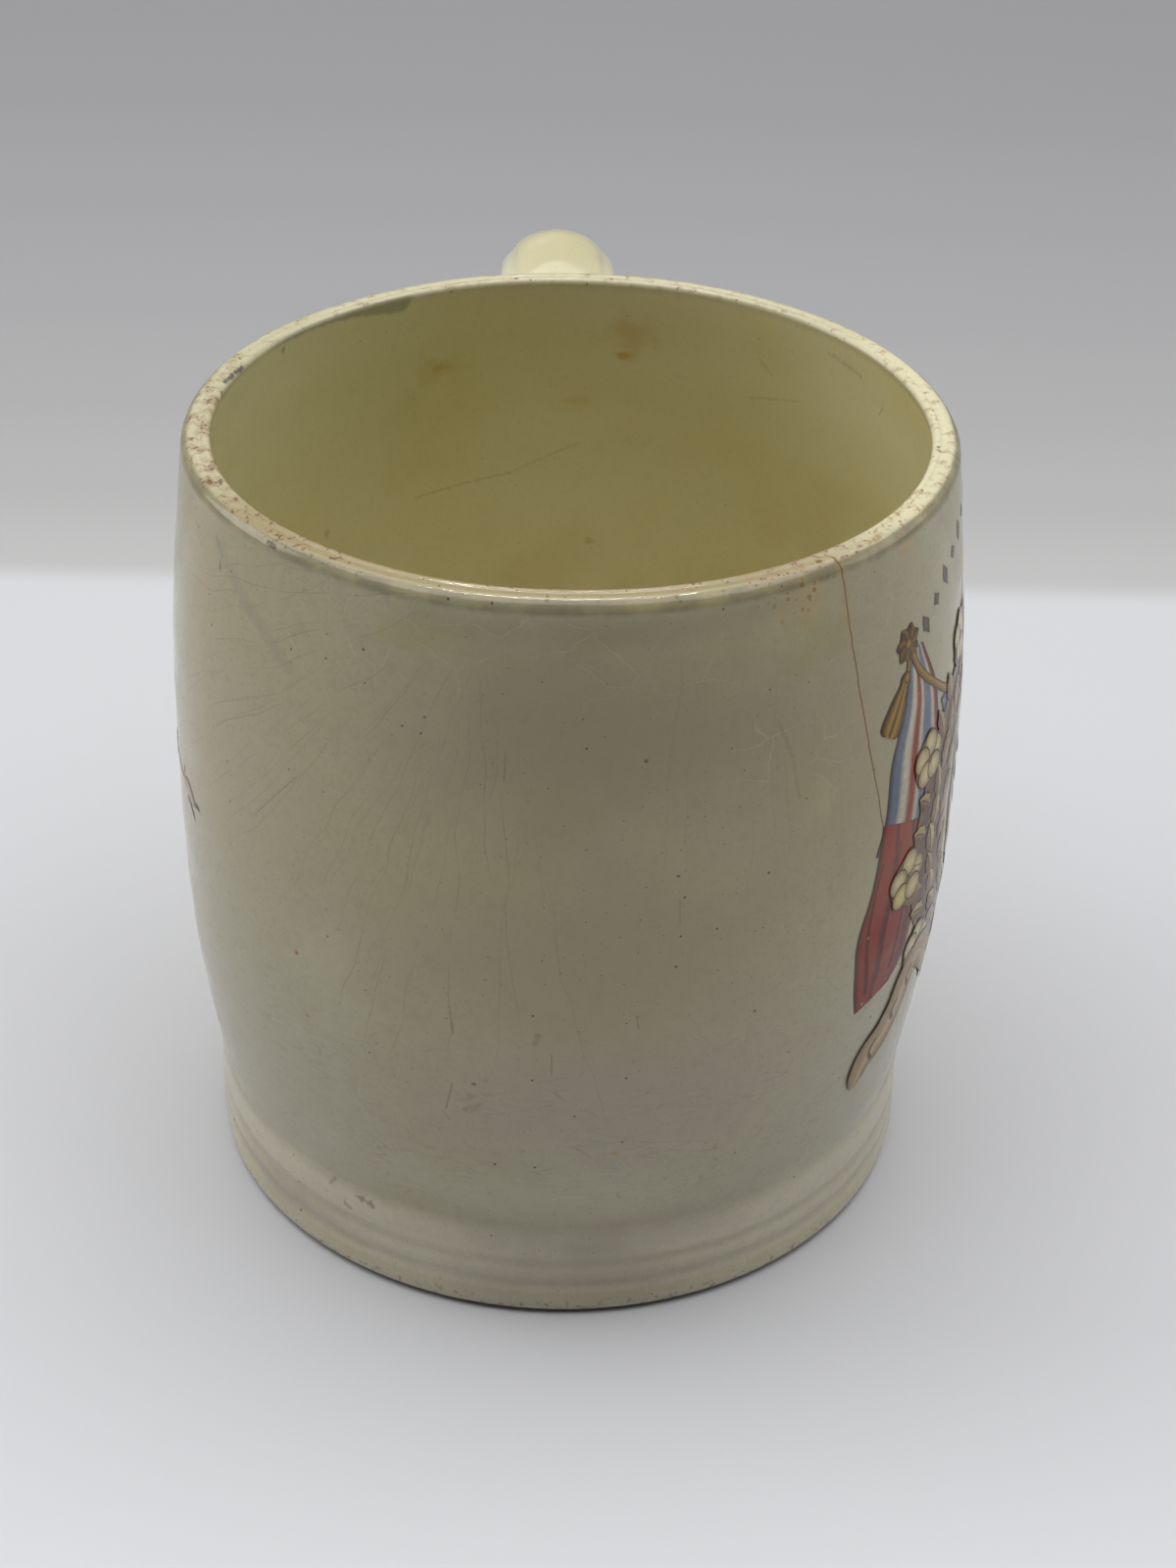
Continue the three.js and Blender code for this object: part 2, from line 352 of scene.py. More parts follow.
def outline_over_the_lip():
    outer = neck_radius - lip_outer_round
    inner = neck_radius - wall + lip_inner_round
    share = np.arange(lip_top_steps) / lip_top_steps
    top_r = outer + (inner - outer) * share
    top_z = cup_height - lip_dip * np.sin(np.pi * share) ** 2
    return np.concatenate([
        arc(outer, outer_lip_start, lip_outer_round, 0, 90, lip_arc_steps),
        np.stack([top_r, top_z], 1),
        arc(inner, inner_lip_start, lip_inner_round, 90, 180, 9),
    ])


def outline_down_the_inside():
    fillet_top = inside_floor + inside_fillet
    fillet_r = waist_radius - wall - inside_fillet
    return np.concatenate([
        bezier(upper_barrel(wall, inner_lip_start)[::-1], 40),
        bezier(lower_barrel(wall, fillet_top)[::-1], 34),
        arc(fillet_r, fillet_top, inside_fillet, 0, -90, 14),
        straight((fillet_r, inside_floor), (axis_gap, inside_floor), 16),
        [(axis_gap, inside_floor)],
    ])


# Waves that turning left. For the wall: height, how many go round, start and shift up it. For
# the lip: height, how many go round and start
wall_waves = ((0.05, 3, 1.1, 0.05), (0.03, 7, 0.4, -0.12), (0.02, 2, 0.0, 0.9))
rim_waves = ((0.07, 2, 0.7), (0.03, 9, 2.0))
fuller_side = 0.17
fuller_height = 44
fuller_reach = 14
rim_from = 55
rim_sunk = 0.1
lower_back = 0.2
back_tilt = 0.22
even_inside = 30
even_below = 12


def uneven(azimuth, r, z):
    """How far hand turning left the wall from true, outwards and upwards."""
    rim = np.clip((z - rim_from) / (cup_height - rim_from), 0, 1) ** 2
    belly = np.exp(-(((z - fuller_height) / fuller_reach) ** 4))
    out = sum(
        swell * np.sin(count * azimuth + start + z * shift)
        for swell, count, start, shift in wall_waves
    )
    out = out + fuller_side * belly * np.sin(azimuth)
    out = out * np.clip(r / even_inside, 0, 1) * np.clip(z / even_below, 0, 1)
    up = rim * sum(rise * np.sin(count * azimuth + start) for rise, count, start in rim_waves)
    backward = (1 - np.cos(azimuth)) / 2
    tilt = back_tilt * rim * np.sin(azimuth) * backward
    return out, up + tilt - rim * rim_sunk - lower_back * rim * backward


def skin(name, rings, wrap=True, closed=True):
    """A mesh over rings of points; wrap joins each ring's ends, closed joins last to first."""
    rings = np.asarray(rings, float)
    count, across = rings.shape[:2]
    faces = []
    for i in range(count if closed else count - 1):
        for j in range(across if wrap else across - 1):
            k, n = (i + 1) % count, (j + 1) % across
            faces.append((i * across + j, i * across + n, k * across + n, k * across + j))
    mesh = bpy.data.meshes.new(name)
    mesh.from_pydata([tuple(p) for p in rings.reshape(-1, 3) * MM], [], faces)
    mesh.polygons.foreach_set("use_smooth", [True] * len(faces))
    mesh.update()
    return mesh


def stand_on_axis(name, mesh, material):
    """The object of a mesh that is measured from the cup's axis, stood on that axis."""
    thing = bpy.data.objects.new(name, mesh)
    bpy.context.scene.collection.objects.link(thing)
    thing.location = cup_axis
    mesh.materials.append(material)
    bpy.context.view_layer.update()
    return thing


outline = np.concatenate([
    outline_up_the_outside(), outline_over_the_lip(), outline_down_the_inside(),
])
steps_along = np.linalg.norm(np.diff(outline, axis=0), axis=1)
along = np.concatenate([[0], np.cumsum(steps_along)])
lip_middle = len(outline_up_the_outside()) + lip_arc_steps + lip_top_steps // 2
past_lip = along - along[lip_middle]

# Rings of points up the outline, closer together at the small nick in the lip's edge
near_nick = nick_azimuth + np.linspace(-nick_zone, nick_zone, nick_steps)
even_turns = np.arange(turns) * 360 / turns - 180
even_turns = even_turns[np.abs(even_turns - nick_azimuth) > nick_zone + 0.2]
azimuths = np.radians(np.sort(np.concatenate([even_turns, near_nick])))
rings = []
for (r, z), past in zip(outline, past_lip):
    out, up = uneven(azimuths, r, z)
    across_nick = np.degrees(azimuths) - nick_azimuth - nick_lean * past
    across_nick = across_nick * nick_mm_per_degree / nick_width * nick_sharpness
    along_nick = (past - nick_middle) / nick_half_length
    cut = np.exp(-(across_nick ** 2)) * math.exp(-(along_nick ** 4))
    radius = r + out - nick_inward * nick_depth * cut
    rings.append(np.stack([
        radius * np.sin(azimuths), -radius * np.cos(azimuths), z + up - nick_depth * cut,
    ], 1))
body_mesh = skin("cup_body", rings, closed=False)
past_values = np.repeat(past_lip, len(azimuths))
body_mesh.attributes.new("past_lip", "FLOAT", "POINT").data.foreach_set("value", past_values)


def start_group(name, inputs, outputs):
    """An empty node group with named sockets, and its input and output nodes."""
    group = bpy.data.node_groups.new(name, "ShaderNodeTree")
    kinds = {"value": "NodeSocketFloat", "place": "NodeSocketVector", "colour": "NodeSocketColor"}
    for socket, kind in inputs:
        group.interface.new_socket(socket, in_out="INPUT", socket_type=kinds[kind])
    for socket, kind in outputs:
        group.interface.new_socket(socket, in_out="OUTPUT", socket_type=kinds[kind])
    return group, group.nodes.new("NodeGroupInput").outputs, group.nodes.new("NodeGroupOutput")


def outputs_of(tree, group, values):
    node = tree.nodes.new("ShaderNodeGroup")
    node.node_tree = group
    return feed(tree, node, values).outputs


def use(tree, group, values):
    return outputs_of(tree, group, values)[0]


def band(tree, value, start, full, last, end):
    """Rises softly from start to full, and falls again from last to end."""
    rise = between(tree, value, start, full)
    fall = between(tree, value, last, end, 1.0, 0.0)
    return reckon(tree, "MULTIPLY", rise, fall)


def vector(tree, operation, *values, output=0):
    node = add(tree, "VectorMath", operation=operation)
    return feed(tree, node, dict(enumerate(values))).outputs[output]


def flat_noise(tree, place, scale, detail=3.0):
    """Noise over a flat place, between 0 and 1."""
    node = add(tree, "TexNoise", noise_dimensions="2D")
    return feed(tree, node, {"Vector": place, "Scale": scale, "Detail": detail}).outputs["Fac"]


def cloud(tree, place, scale, detail, low, high):
    """Soft noise between two levels of its own strength."""
    noise = add(tree, "TexNoise")
    feed(tree, noise, {"Vector": place, "Scale": scale, "Detail": detail})
    return between(tree, noise.outputs["Fac"], low, high)


def times(tree, first, *others):
    for other in others:
        first = reckon(tree, "MULTIPLY", first, other)
    return first


def most(tree, first, *others):
    for other in others:
        first = reckon(tree, "MAXIMUM", first, other)
    return first


def overlay(tree, colour, tint, *shares):
    """A tint laid over a colour, as strong as its shares multiplied."""
    return mix(tree, times(tree, *shares), colour, tint)


def glazed(tree, shader, colour, roughness, relief):
    """Feeds a shader with a glaze: its colour, its gloss and the relief of its surface."""
    bump = add(tree, "Bump")
    feed(tree, bump, {"Height": relief, "Distance": relief_unit, "Strength": 1.0})
    feed(tree, shader, {
        "Base Color": colour, "Roughness": roughness, "Normal": bump.outputs["Normal"],
        "IOR": glaze_ior,
    })


# Where a point lies on the cup: round it in degrees from the front and up it in millimetres,
# and both unrolled in millimetres, from the front and from the handle's side
inner_radius = 34.5
place_group, given, result = start_group(
    "place_on_cup", [],
    [("Azimuth", "value"), ("Height", "value"), ("Unrolled", "place"), ("From the back", "place")],
)
tree = place_group
split = parts(tree, add(tree, "TexCoord").outputs["Object"])
toward = times(tree, split["Y"], -1)
turned = reckon(tree, "ARCTAN2", split["X"], toward)
azimuth = reckon(tree, "DEGREES", turned)
height = times(tree, split["Z"], 1000)
flat = feed(tree, add(tree, "CombineXYZ"), {
    "X": times(tree, turned, mean_radius), "Y": height,
})
leftward = times(tree, split["X"], -1)
turned_back = reckon(tree, "ARCTAN2", leftward, split["Y"])
flat_back = feed(tree, add(tree, "CombineXYZ"), {
    "X": times(tree, turned_back, inner_radius), "Y": height,
})
feed(tree, result, {
    "Azimuth": azimuth, "Height": height, "Unrolled": flat.outputs[0],
    "From the back": flat_back.outputs[0],
})

# Hair-fine cracks in the glaze round cells of a given width and height
crazing_group, given, result = start_group(
    "crazing",
    [("Place", "place"), ("Cell across", "value"), ("Cell tall", "value"),
     ("Line width", "value"), ("Waviness", "value")],
    [("Lines", "value")],
)
tree = crazing_group
wander = add(tree, "TexNoise", noise_dimensions="2D")
feed(tree, wander, {"Vector": given["Place"], "Scale": 0.22, "Detail": 3.0})
offset = vector(tree, "SUBTRACT", wander.outputs["Color"], (0.5, 0.5, 0.5))
scaled = add(tree, "VectorMath", operation="SCALE")
feed(tree, scaled, {0: offset, "Scale": given["Waviness"]})
moved = vector(tree, "ADD", given["Place"], scaled.outputs[0])
cell = feed(tree, add(tree, "CombineXYZ"), {
    "X": given["Cell across"], "Y": given["Cell tall"], "Z": 1.0,
})
cells = add(tree, "TexVoronoi", voronoi_dimensions="2D", feature="DISTANCE_TO_EDGE")
feed(tree, cells, {"Vector": vector(tree, "DIVIDE", moved, cell.outputs[0]), "Scale": 1.0})
lines = between(tree, cells.outputs["Distance"], 0.0, given["Line width"], 1.0, 0.0)
feed(tree, result, {"Lines": lines})

# Hair-fine lines that spread from one point, each begun and broken off at random
fan_group, given, result = start_group(
    "fan_of_lines",
    [("Place", "place"), ("Centre", "place"), ("Degrees apart", "value"), ("Line width", "value"),
     ("Sway", "value"), ("Start", "value"), ("Length", "value")],
    [("Lines", "value"), ("Angle", "value")],
)
tree = fan_group
apart = vector(tree, "SUBTRACT", given["Place"], given["Centre"])
reach = vector(tree, "LENGTH", apart, output="Value")
split = parts(tree, apart)
down = times(tree, split["Y"], -1)
turned = reckon(tree, "ARCTAN2", split["X"], down)
sway = reckon(tree, "SUBTRACT", flat_noise(tree, given["Place"], 0.12, 1.0), 0.5)
sway = reckon(tree, "DIVIDE", times(tree, sway, given["Sway"]), reach)
spread = reckon(tree, "RADIANS", given["Degrees apart"])
turns_done = reckon(tree, "DIVIDE", reckon(tree, "ADD", turned, sway), spread)
number = reckon(tree, "FLOOR", turns_done)
draws = feed(tree, add(tree, "TexWhiteNoise", noise_dimensions="1D"), {"W": number})
draws = feed(tree, add(tree, "SeparateColor"), {0: draws.outputs["Color"]}).outputs
seat = reckon(tree, "MULTIPLY_ADD", draws["Red"], 0.6, 0.2)
off = reckon(tree, "SUBTRACT", reckon(tree, "SUBTRACT", turns_done, number), seat)
off = times(tree, reckon(tree, "ABSOLUTE", off), times(tree, spread, reach))
line = between(tree, off, 0.0, given["Line width"], 1.0, 0.0)
late = times(tree, draws["Green"], times(tree, given["Length"], 0.7))
begin = reckon(tree, "ADD", given["Start"], late)
run_on = times(tree, reckon(tree, "ADD", draws["Blue"], 0.3), given["Length"])
stop = reckon(tree, "ADD", begin, run_on)
full_from = reckon(tree, "ADD", begin, 2.0)
full_to = reckon(tree, "SUBTRACT", stop, 4.0)
shown = band(tree, reach, begin, full_from, full_to, stop)
feed(tree, result, {
    "Lines": times(tree, line, shown), "Angle": reckon(tree, "DEGREES", turned),
})

# A soft-edged, ragged patch
stain_group, given, result = start_group(
    "stain",
    [("Place", "place"), ("Centre", "place"), ("Size", "place"), ("Ragged", "value"),
     ("Grain", "value")],
    [("Patch", "value")],
)
tree = stain_group
apart = vector(tree, "SUBTRACT", given["Place"], given["Centre"])
reach = vector(tree, "LENGTH", vector(tree, "DIVIDE", apart, given["Size"]), output="Value")
shift = reckon(tree, "SUBTRACT", flat_noise(tree, given["Place"], given["Grain"]), 0.5)
edge = reckon(tree, "MULTIPLY_ADD", shift, given["Ragged"], reach)
feed(tree, result, {"Patch": between(tree, edge, 0.1, 1.0, 1.0, 0.0)})

# A thin streak from one spot to another
streak_group, given, result = start_group(
    "streak",
    [("Place", "place"), ("From", "place"), ("To", "place"), ("Half width", "value"),
     ("Ragged", "value")],
    [("Streak", "value")],
)
tree = streak_group
whole = vector(tree, "SUBTRACT", given["To"], given["From"])
apart = vector(tree, "SUBTRACT", given["Place"], given["From"])
share = reckon(
    tree, "DIVIDE", vector(tree, "DOT_PRODUCT", apart, whole, output="Value"),
    vector(tree, "DOT_PRODUCT", whole, whole, output="Value"),
)
share = reckon(tree, "MINIMUM", reckon(tree, "MAXIMUM", share, 0.0), 1.0)
nearest = feed(tree, add(tree, "VectorMath", operation="SCALE"), {0: whole, "Scale": share})
off = vector(tree, "LENGTH", vector(tree, "SUBTRACT", apart, nearest.outputs[0]), output="Value")
shift = reckon(tree, "SUBTRACT", flat_noise(tree, given["Place"], 1.7), 0.5)
off = reckon(tree, "MULTIPLY_ADD", shift, given["Ragged"], off)
inner = times(tree, given["Half width"], 0.3)
feed(tree, result, {"Streak": between(tree, off, inner, given["Half width"], 1.0, 0.0)})

# Scattered small round specks
specks_group, given, result = start_group(
    "specks",
    [("Place", "place"), ("Spacing", "value"), ("Radius", "value"), ("Share", "value")],
    [("Specks", "value")],
)
tree = specks_group
spacing = feed(tree, add(tree, "CombineXYZ"), {
    "X": given["Spacing"], "Y": given["Spacing"], "Z": 1.0,
})
cells = add(tree, "TexVoronoi", voronoi_dimensions="2D", feature="F1")
in_cells = vector(tree, "DIVIDE", given["Place"], spacing.outputs[0])
feed(tree, cells, {"Vector": in_cells, "Scale": 1.0})
chance = feed(tree, add(tree, "SeparateColor"), {0: cells.outputs["Color"]})
radius = reckon(tree, "DIVIDE", given["Radius"], given["Spacing"])
radius = times(tree, radius, reckon(tree, "ADD", chance.outputs["Green"], 0.4))
inner = times(tree, radius, 0.6)
dots = between(tree, cells.outputs["Distance"], inner, radius, 1.0, 0.0)
chosen = reckon(tree, "LESS_THAN", chance.outputs["Red"], given["Share"])
feed(tree, result, {"Specks": times(tree, dots, chosen)})

# Irregular grains where the glaze has worn through, gathered in clusters
wear_group, given, result = start_group(
    "worn_grains",
    [("Place", "place"), ("Grain", "value"), ("Amount", "value")],
    [("Grains", "value")],
)
tree = wear_group
fine = flat_noise(tree, given["Place"], given["Grain"], 5.0)
cluster = reckon(tree, "SUBTRACT", flat_noise(tree, given["Place"], 0.7, 2.0), 0.5)
level = reckon(tree, "MULTIPLY_ADD", cluster, 0.7, fine)
level = reckon(tree, "MULTIPLY_ADD", reckon(tree, "SUBTRACT", given["Amount"], 1.0), 0.2, level)
feed(tree, result, {"Grains": between(tree, level, 0.63, 0.71)})

# Soft waves in the surface of the glaze, and gloss that differs from spot to spot
glaze_group, given, result = start_group(
    "waves_and_gloss",
    [("Wave scale", "value"), ("Wave height", "value"), ("Glossiest", "value"),
     ("Dullest", "value")],
    [("Relief", "value"), ("Roughness", "value")],
)
tree = glaze_group
solid_place = add(tree, "TexCoord").outputs["Object"]
waves = add(tree, "TexNoise")
feed(tree, waves, {"Vector": solid_place, "Scale": given["Wave scale"], "Detail": 2.0})
gloss = cloud(tree, solid_place, 140, 4, 0.3, 0.75)
feed(tree, result, {
    "Relief": times(tree, waves.outputs["Fac"], given["Wave height"]),
    "Roughness": between(tree, gloss, 0.0, 1.0, given["Glossiest"], given["Dullest"]),
})

# Painted shade: the wall's cream and warm colours below are darkened for the front of the cup
shaded_wall_cream = paint(171, 163, 129)
shaded_wall_warm = paint(172, 160, 121)
wall_grey = paint(173, 168, 147)
back_cream = paint(204, 197, 163)
back_warm = paint(199, 190, 152)
wall_grain = paint(96, 88, 64)
wall_mottle = paint(126, 108, 76)
pooled = paint(158, 150, 114)
foot_yellow = paint(204, 194, 146)
foot_cream = paint(208, 201, 178)
waist_light = paint(204, 200, 172)
inside_cream = paint(214, 207, 167)
inside_stained = paint(209, 198, 143)
inside_green = paint(196, 196, 156)
lip_cream = paint(203, 197, 163)
lip_painted_highlight = paint(224, 217, 181)
lip_painted_shade = paint(163, 151, 110)
band_grey_and_shade = paint(112, 108, 88)
worn_pink = paint(168, 142, 106)
worn_brown = paint(104, 70, 50)
edge_brown = paint(166, 118, 78)
worn_ochre = paint(164, 118, 56)
ochre_dark = paint(138, 96, 50)
craze_dark = paint(98, 88, 62)
craze_painted_glint = paint(214, 208, 172)
pit_black = paint(48, 42, 36)
crack_red = paint(118, 82, 50)
crack_brown = paint(90, 70, 48)
crack_halo = paint(172, 150, 102)
smear_grey = paint(128, 130, 108)
nick_brown = paint(84, 52, 42)
bare_clay = paint(204, 188, 164)
foot_contact_shadow = paint(84, 80, 64)
foot_brown = paint(128, 98, 74)

body_glaze, tree, shader = new_material("cream_glaze")
spots = outputs_of(tree, place_group, {})
azimuth = spots["Azimuth"]
height = spots["Height"]
unrolled = spots["Unrolled"]
from_back = spots["From the back"]
past = add(tree, "Attribute", attribute_name="past_lip").outputs["Fac"]
lip_place = feed(tree, add(tree, "CombineXYZ"), {
    "X": times(tree, azimuth, math.radians(mean_radius)), "Y": past,
}).outputs[0]
solid_place = add(tree, "TexCoord").outputs["Object"]

# Inside, outside and the bright top of the lip
inside = between(tree, past, 1.2, 2.3)
outside = reckon(tree, "SUBTRACT", 1.0, inside)
on_lip = band(tree, past, -1.4, -1.1, 1.0, 1.6)

# The wall: warmer and cooler clouds, darkened in front as painted shade, greyer low down
colour = mix(tree, cloud(tree, solid_place, 38, 3, 0.42, 0.72), shaded_wall_cream, shaded_wall_warm)
low_down = between(tree, height, 56.0, 20.0)
low_down = times(tree, low_down, cloud(tree, solid_place, 30, 3, 0.2, 0.6))
colour = overlay(tree, colour, wall_grey, low_down, 0.75)

# The foot band: pale, with yellow glaze along its foot and grey glaze pooled in its grooves
foot_share = between(tree, height, 11.6, 9.4)
colour = overlay(tree, colour, foot_cream, foot_share, 0.85)
uneven_foot = cloud(tree, solid_place, 60, 3, 0.2, 0.6)
pools = []
for groove in groove_heights:
    gap = reckon(tree, "ABSOLUTE", reckon(tree, "SUBTRACT", height, groove))
    pools.append(between(tree, gap, 0.1, 1.0, 1.0, 0.0))
colour = overlay(tree, colour, pooled, most(tree, *pools), uneven_foot, 0.3)
low_band = band(tree, height, 1.3, 2.0, 2.7, 3.3)
colour = overlay(tree, colour, foot_yellow, low_band, uneven_foot, 0.5)

# The waist catches a lighter line, faint in front
waist_band = band(tree, height, 8.4, 10.2, 11.4, 14.0)
waist_band = times(tree, waist_band, cloud(tree, solid_place, 90, 3, 0.3, 0.7))
off_front = between(tree, reckon(tree, "ABSOLUTE", azimuth), 12.0, 46.0, 0.2, 1.0)
colour = overlay(tree, colour, waist_light, waist_band, off_front, 0.4)

# The back, towards the handle, keeps the glaze's paler cream; the darker colours of the front are
# painted shade
backward = between(tree, reckon(tree, "ABSOLUTE", azimuth), 86.0, 130.0)
back_colour = mix(tree, cloud(tree, solid_place, 34, 3, 0.35, 0.7), back_cream, back_warm)
colour = overlay(tree, colour, back_colour, backward, 0.85)

# Inside, the glaze lies thicker and yellower, greener high up at the left
inner_colour = mix(tree, cloud(tree, solid_place, 30, 4, 0.4, 0.7), inside_cream, inside_stained)
greener = band(tree, azimuth, -176.0, -150.0, -100.0, -80.0)
greener = times(tree, greener, between(tree, height, 52.0, 72.0), 0.45)
inner_colour = mix(tree, greener, inner_colour, inside_green)
colour = mix(tree, inside, colour, inner_colour)

# A fine grain all over, weaker inside, and a soft mottle outside
grain = most(
    tree, cloud(tree, solid_place, 2600, 2, 0.5, 0.75),
    times(tree, cloud(tree, solid_place, 800, 3, 0.5, 0.75), 0.8),
)
grain_depth = reckon(tree, "MULTIPLY_ADD", inside, -0.06, 0.12)
colour = overlay(tree, colour, wall_grain, grain, grain_depth)
mottle = times(tree, cloud(tree, solid_place, 560, 4, 0.48, 0.75), outside)
colour = overlay(tree, colour, wall_mottle, mottle, 0.08)


def stained(colour, stains, place, side):
    """Stains laid over a colour: centre, size, ragged edge, its grain, tint and depth."""
    for centre, size, ragged, rough, tint, depth in stains:
        patch = use(tree, stain_group, {
            "Place": place, "Centre": centre + (0,), "Size": size + (1,), "Ragged": ragged,
            "Grain": rough,
        })
        colour = overlay(tree, colour, tint, patch, side, depth)
    return colour


def streaked(colour, streaks, place, side):
    """Streaks laid over a colour: from, to, half width, ragged edge, tint and depth."""
    for start, stop, half_width, ragged, tint, depth in streaks:
        streak = use(tree, streak_group, {
            "Place": place, "From": start + (0,), "To": stop + (0,), "Half width": half_width,
            "Ragged": ragged,
        })
        colour = overlay(tree, colour, tint, streak, side, depth)
    return colour


# Broad stains in the wall, and broad patches of painted shade over the front
wall_stains_and_shade = (
    ((-14.0, 75.8), (6.0, 3.2), 1.4, 0.35, paint(156, 148, 90), 0.5),
    ((1.4, 76.6), (5.0, 1.8), 1.4, 0.5, paint(156, 148, 92), 0.45),
    ((20.2, 77.4), (4.4, 3.4), 1.5, 0.5, paint(188, 160, 100), 0.42),
    ((33.5, 78.3), (2.2, 1.5), 1.3, 0.9, paint(190, 152, 88), 0.4),
    ((21.5, 73.4), (5.4, 4.0), 1.7, 0.4, paint(162, 148, 94), 0.5),
    ((20.4, 61.8), (4.2, 5.2), 1.5, 0.3, paint(160, 150, 100), 0.3),
    ((22.0, 57.5), (2.6, 3.6), 1.4, 0.4, paint(196, 182, 132), 0.3),
    # Painted shade over the front: darker patches across its middle, high and low, a painted mauve
    # reflection lower down, and darker bands at the foot's centre and the waist; then a paler band
    # just above the waist
    ((2.2, 67.5), (28.0, 17.5), 0.35, 0.1, paint(136, 126, 92), 0.66),
    ((3.0, 46.0), (26.0, 19.0), 0.4, 0.1, paint(146, 136, 106), 0.56),
    ((2.1, 28.6), (28.0, 10.0), 0.7, 0.12, paint(164, 149, 134), 0.55),
    ((1.0, 5.0), (20.0, 8.0), 0.8, 0.1, paint(166, 157, 136), 0.6),
    ((2.0, 10.0), (24.0, 3.4), 0.8, 0.1, paint(158, 150, 128), 0.5),
    ((-6.0, 15.5), (32.0, 5.0), 0.6, 0.1, paint(190, 184, 160), 0.4),
    # Painted shade: darker on the right of the front, in a band under the lip and at the foot's
    # left
    ((25.0, 62.0), (15.0, 24.0), 0.5, 0.1, paint(146, 137, 110), 0.34),
    ((4.0, 77.2), (26.0, 2.2), 0.6, 0.2, paint(136, 128, 100), 0.38),
    ((-34.0, 4.8), (14.0, 3.4), 0.6, 0.1, paint(146, 138, 116), 0.42),
    ((-23.7, 37.4), (7.0, 9.0), 1.8, 0.16, paint(184, 180, 152), 0.3),
    ((-40.6, 72.2), (0.9, 1.3), 1.0, 1.2, paint(184, 158, 96), 0.5),
    ((-37.9, 74.2), (0.35, 0.9), 0.9, 1.8, paint(116, 88, 62), 0.6),
)
colour = stained(colour, wall_stains_and_shade, unrolled, outside)

# Stains inside, measured from the handle's side
inner_stains = (
    ((13.0, 70.4), (1.2, 0.8), 1.4, 1.2, paint(180, 132, 44), 0.75),
    ((13.0, 70.0), (3.2, 2.4), 1.6, 0.5, paint(186, 160, 80), 0.5),
    ((-6.8, 71.0), (1.5, 0.9), 1.4, 1.0, paint(184, 132, 40), 0.9),
    ((-7.8, 73.6), (4.0, 3.4), 1.6, 0.4, paint(186, 150, 66), 0.5),
    ((-1.5, 65.3), (2.2, 1.3), 1.5, 0.8, paint(186, 154, 72), 0.4),
    ((-3.4, 48.1), (0.8, 0.6), 1.2, 1.2, paint(160, 120, 56), 0.55),
    ((26.5, 54.1), (0.6, 0.7), 1.2, 1.4, paint(146, 98, 52), 0.6),
    ((33.9, 78.3), (0.5, 0.8), 1.0, 1.4, paint(112, 94, 66), 0.7),
    ((15.0, 62.0), (7.5, 6.0), 1.8, 0.2, paint(182, 166, 100), 0.25),
    ((-30.0, 58.0), (10.0, 9.0), 1.8, 0.16, paint(186, 168, 100), 0.25),
    ((2.0, 44.0), (15.0, 9.0), 1.8, 0.12, paint(180, 162, 92), 0.3),
)
colour = stained(colour, inner_stains, from_back, times(tree, inside, 0.65))

# Crazing: two fans from the lip at the left of the front, long upright lines at the right,
# short flat hairs low down, and a faint net everywhere
first_fan = outputs_of(tree, fan_group, {
    "Place": unrolled, "Centre": (-9.0, 80.5, 0), "Degrees apart": 4.4, "Line width": 0.07,
    "Sway": 2.0, "Start": 4.0, "Length": 32.0,
})
second_fan = outputs_of(tree, fan_group, {
    "Place": unrolled, "Centre": (-4.0, 88.0, 0), "Degrees apart": 4.6, "Line width": 0.07,
    "Sway": 2.0, "Start": 12.0, "Length": 32.0,
})
fan_lines = most(tree, first_fan["Lines"], times(tree, second_fan["Lines"], 0.7))
fan_lines = times(tree, fan_lines, band(tree, first_fan["Angle"], -88.0, -80.0, 8.0, 18.0), 1.35)

upright_lines = use(tree, fan_group, {
    "Place": unrolled, "Centre": (16.0, 190.0, 0), "Degrees apart": 0.85, "Line width": 0.16,
    "Sway": 1.6, "Start": 112.0, "Length": 26.0,
})
upright_lines = times(tree, upright_lines, band(tree, azimuth, 2.0, 12.0, 34.0, 44.0), 0.32)

flat_hairs = use(tree, crazing_group, {
    "Place": unrolled, "Cell across": 6.4, "Cell tall": 1.1, "Line width": 0.05, "Waviness": 1.0,
})
flat_hairs = times(
    tree, flat_hairs, band(tree, height, 11.0, 16.0, 28.0, 38.0),
    cloud(tree, solid_place, 260, 2, 0.42, 0.6),
)
net = use(tree, crazing_group, {
    "Place": unrolled, "Cell across": 4.6, "Cell tall": 3.8, "Line width": 0.016, "Waviness": 4.6,
})
net = times(tree, net, cloud(tree, solid_place, 60, 2, 0.42, 0.62), 0.5)

crazed = most(tree, fan_lines, upright_lines, flat_hairs, net)
crazed = times(tree, crazed, cloud(tree, solid_place, 170, 2, 0.3, 0.55), outside)
off_lip = reckon(tree, "SUBTRACT", 1.0, on_lip)
colour = overlay(tree, colour, craze_dark, crazed, off_lip, 0.24)

# Arcs of crazing under the lip and beside the long crack, painted pale as a painted highlight where
# their relief catches the light
arcs = use(tree, crazing_group, {
    "Place": unrolled, "Cell across": 5.6, "Cell tall": 3.4, "Line width": 0.022, "Waviness": 2.4,
})
under_lip = band(tree, height, 68.0, 72.0, 78.0, 78.8)
by_crack = times(
    tree, band(tree, height, 54.0, 62.0, 78.0, 78.8),
    band(tree, azimuth, 16.0, 23.0, 36.0, 44.0), 1.3,
)
arcs = times(
    tree, arcs, most(tree, under_lip, by_crack),
    cloud(tree, solid_place, 110, 2, 0.4, 0.6), outside,
)
colour = overlay(tree, colour, craze_painted_glint, arcs, 0.15)
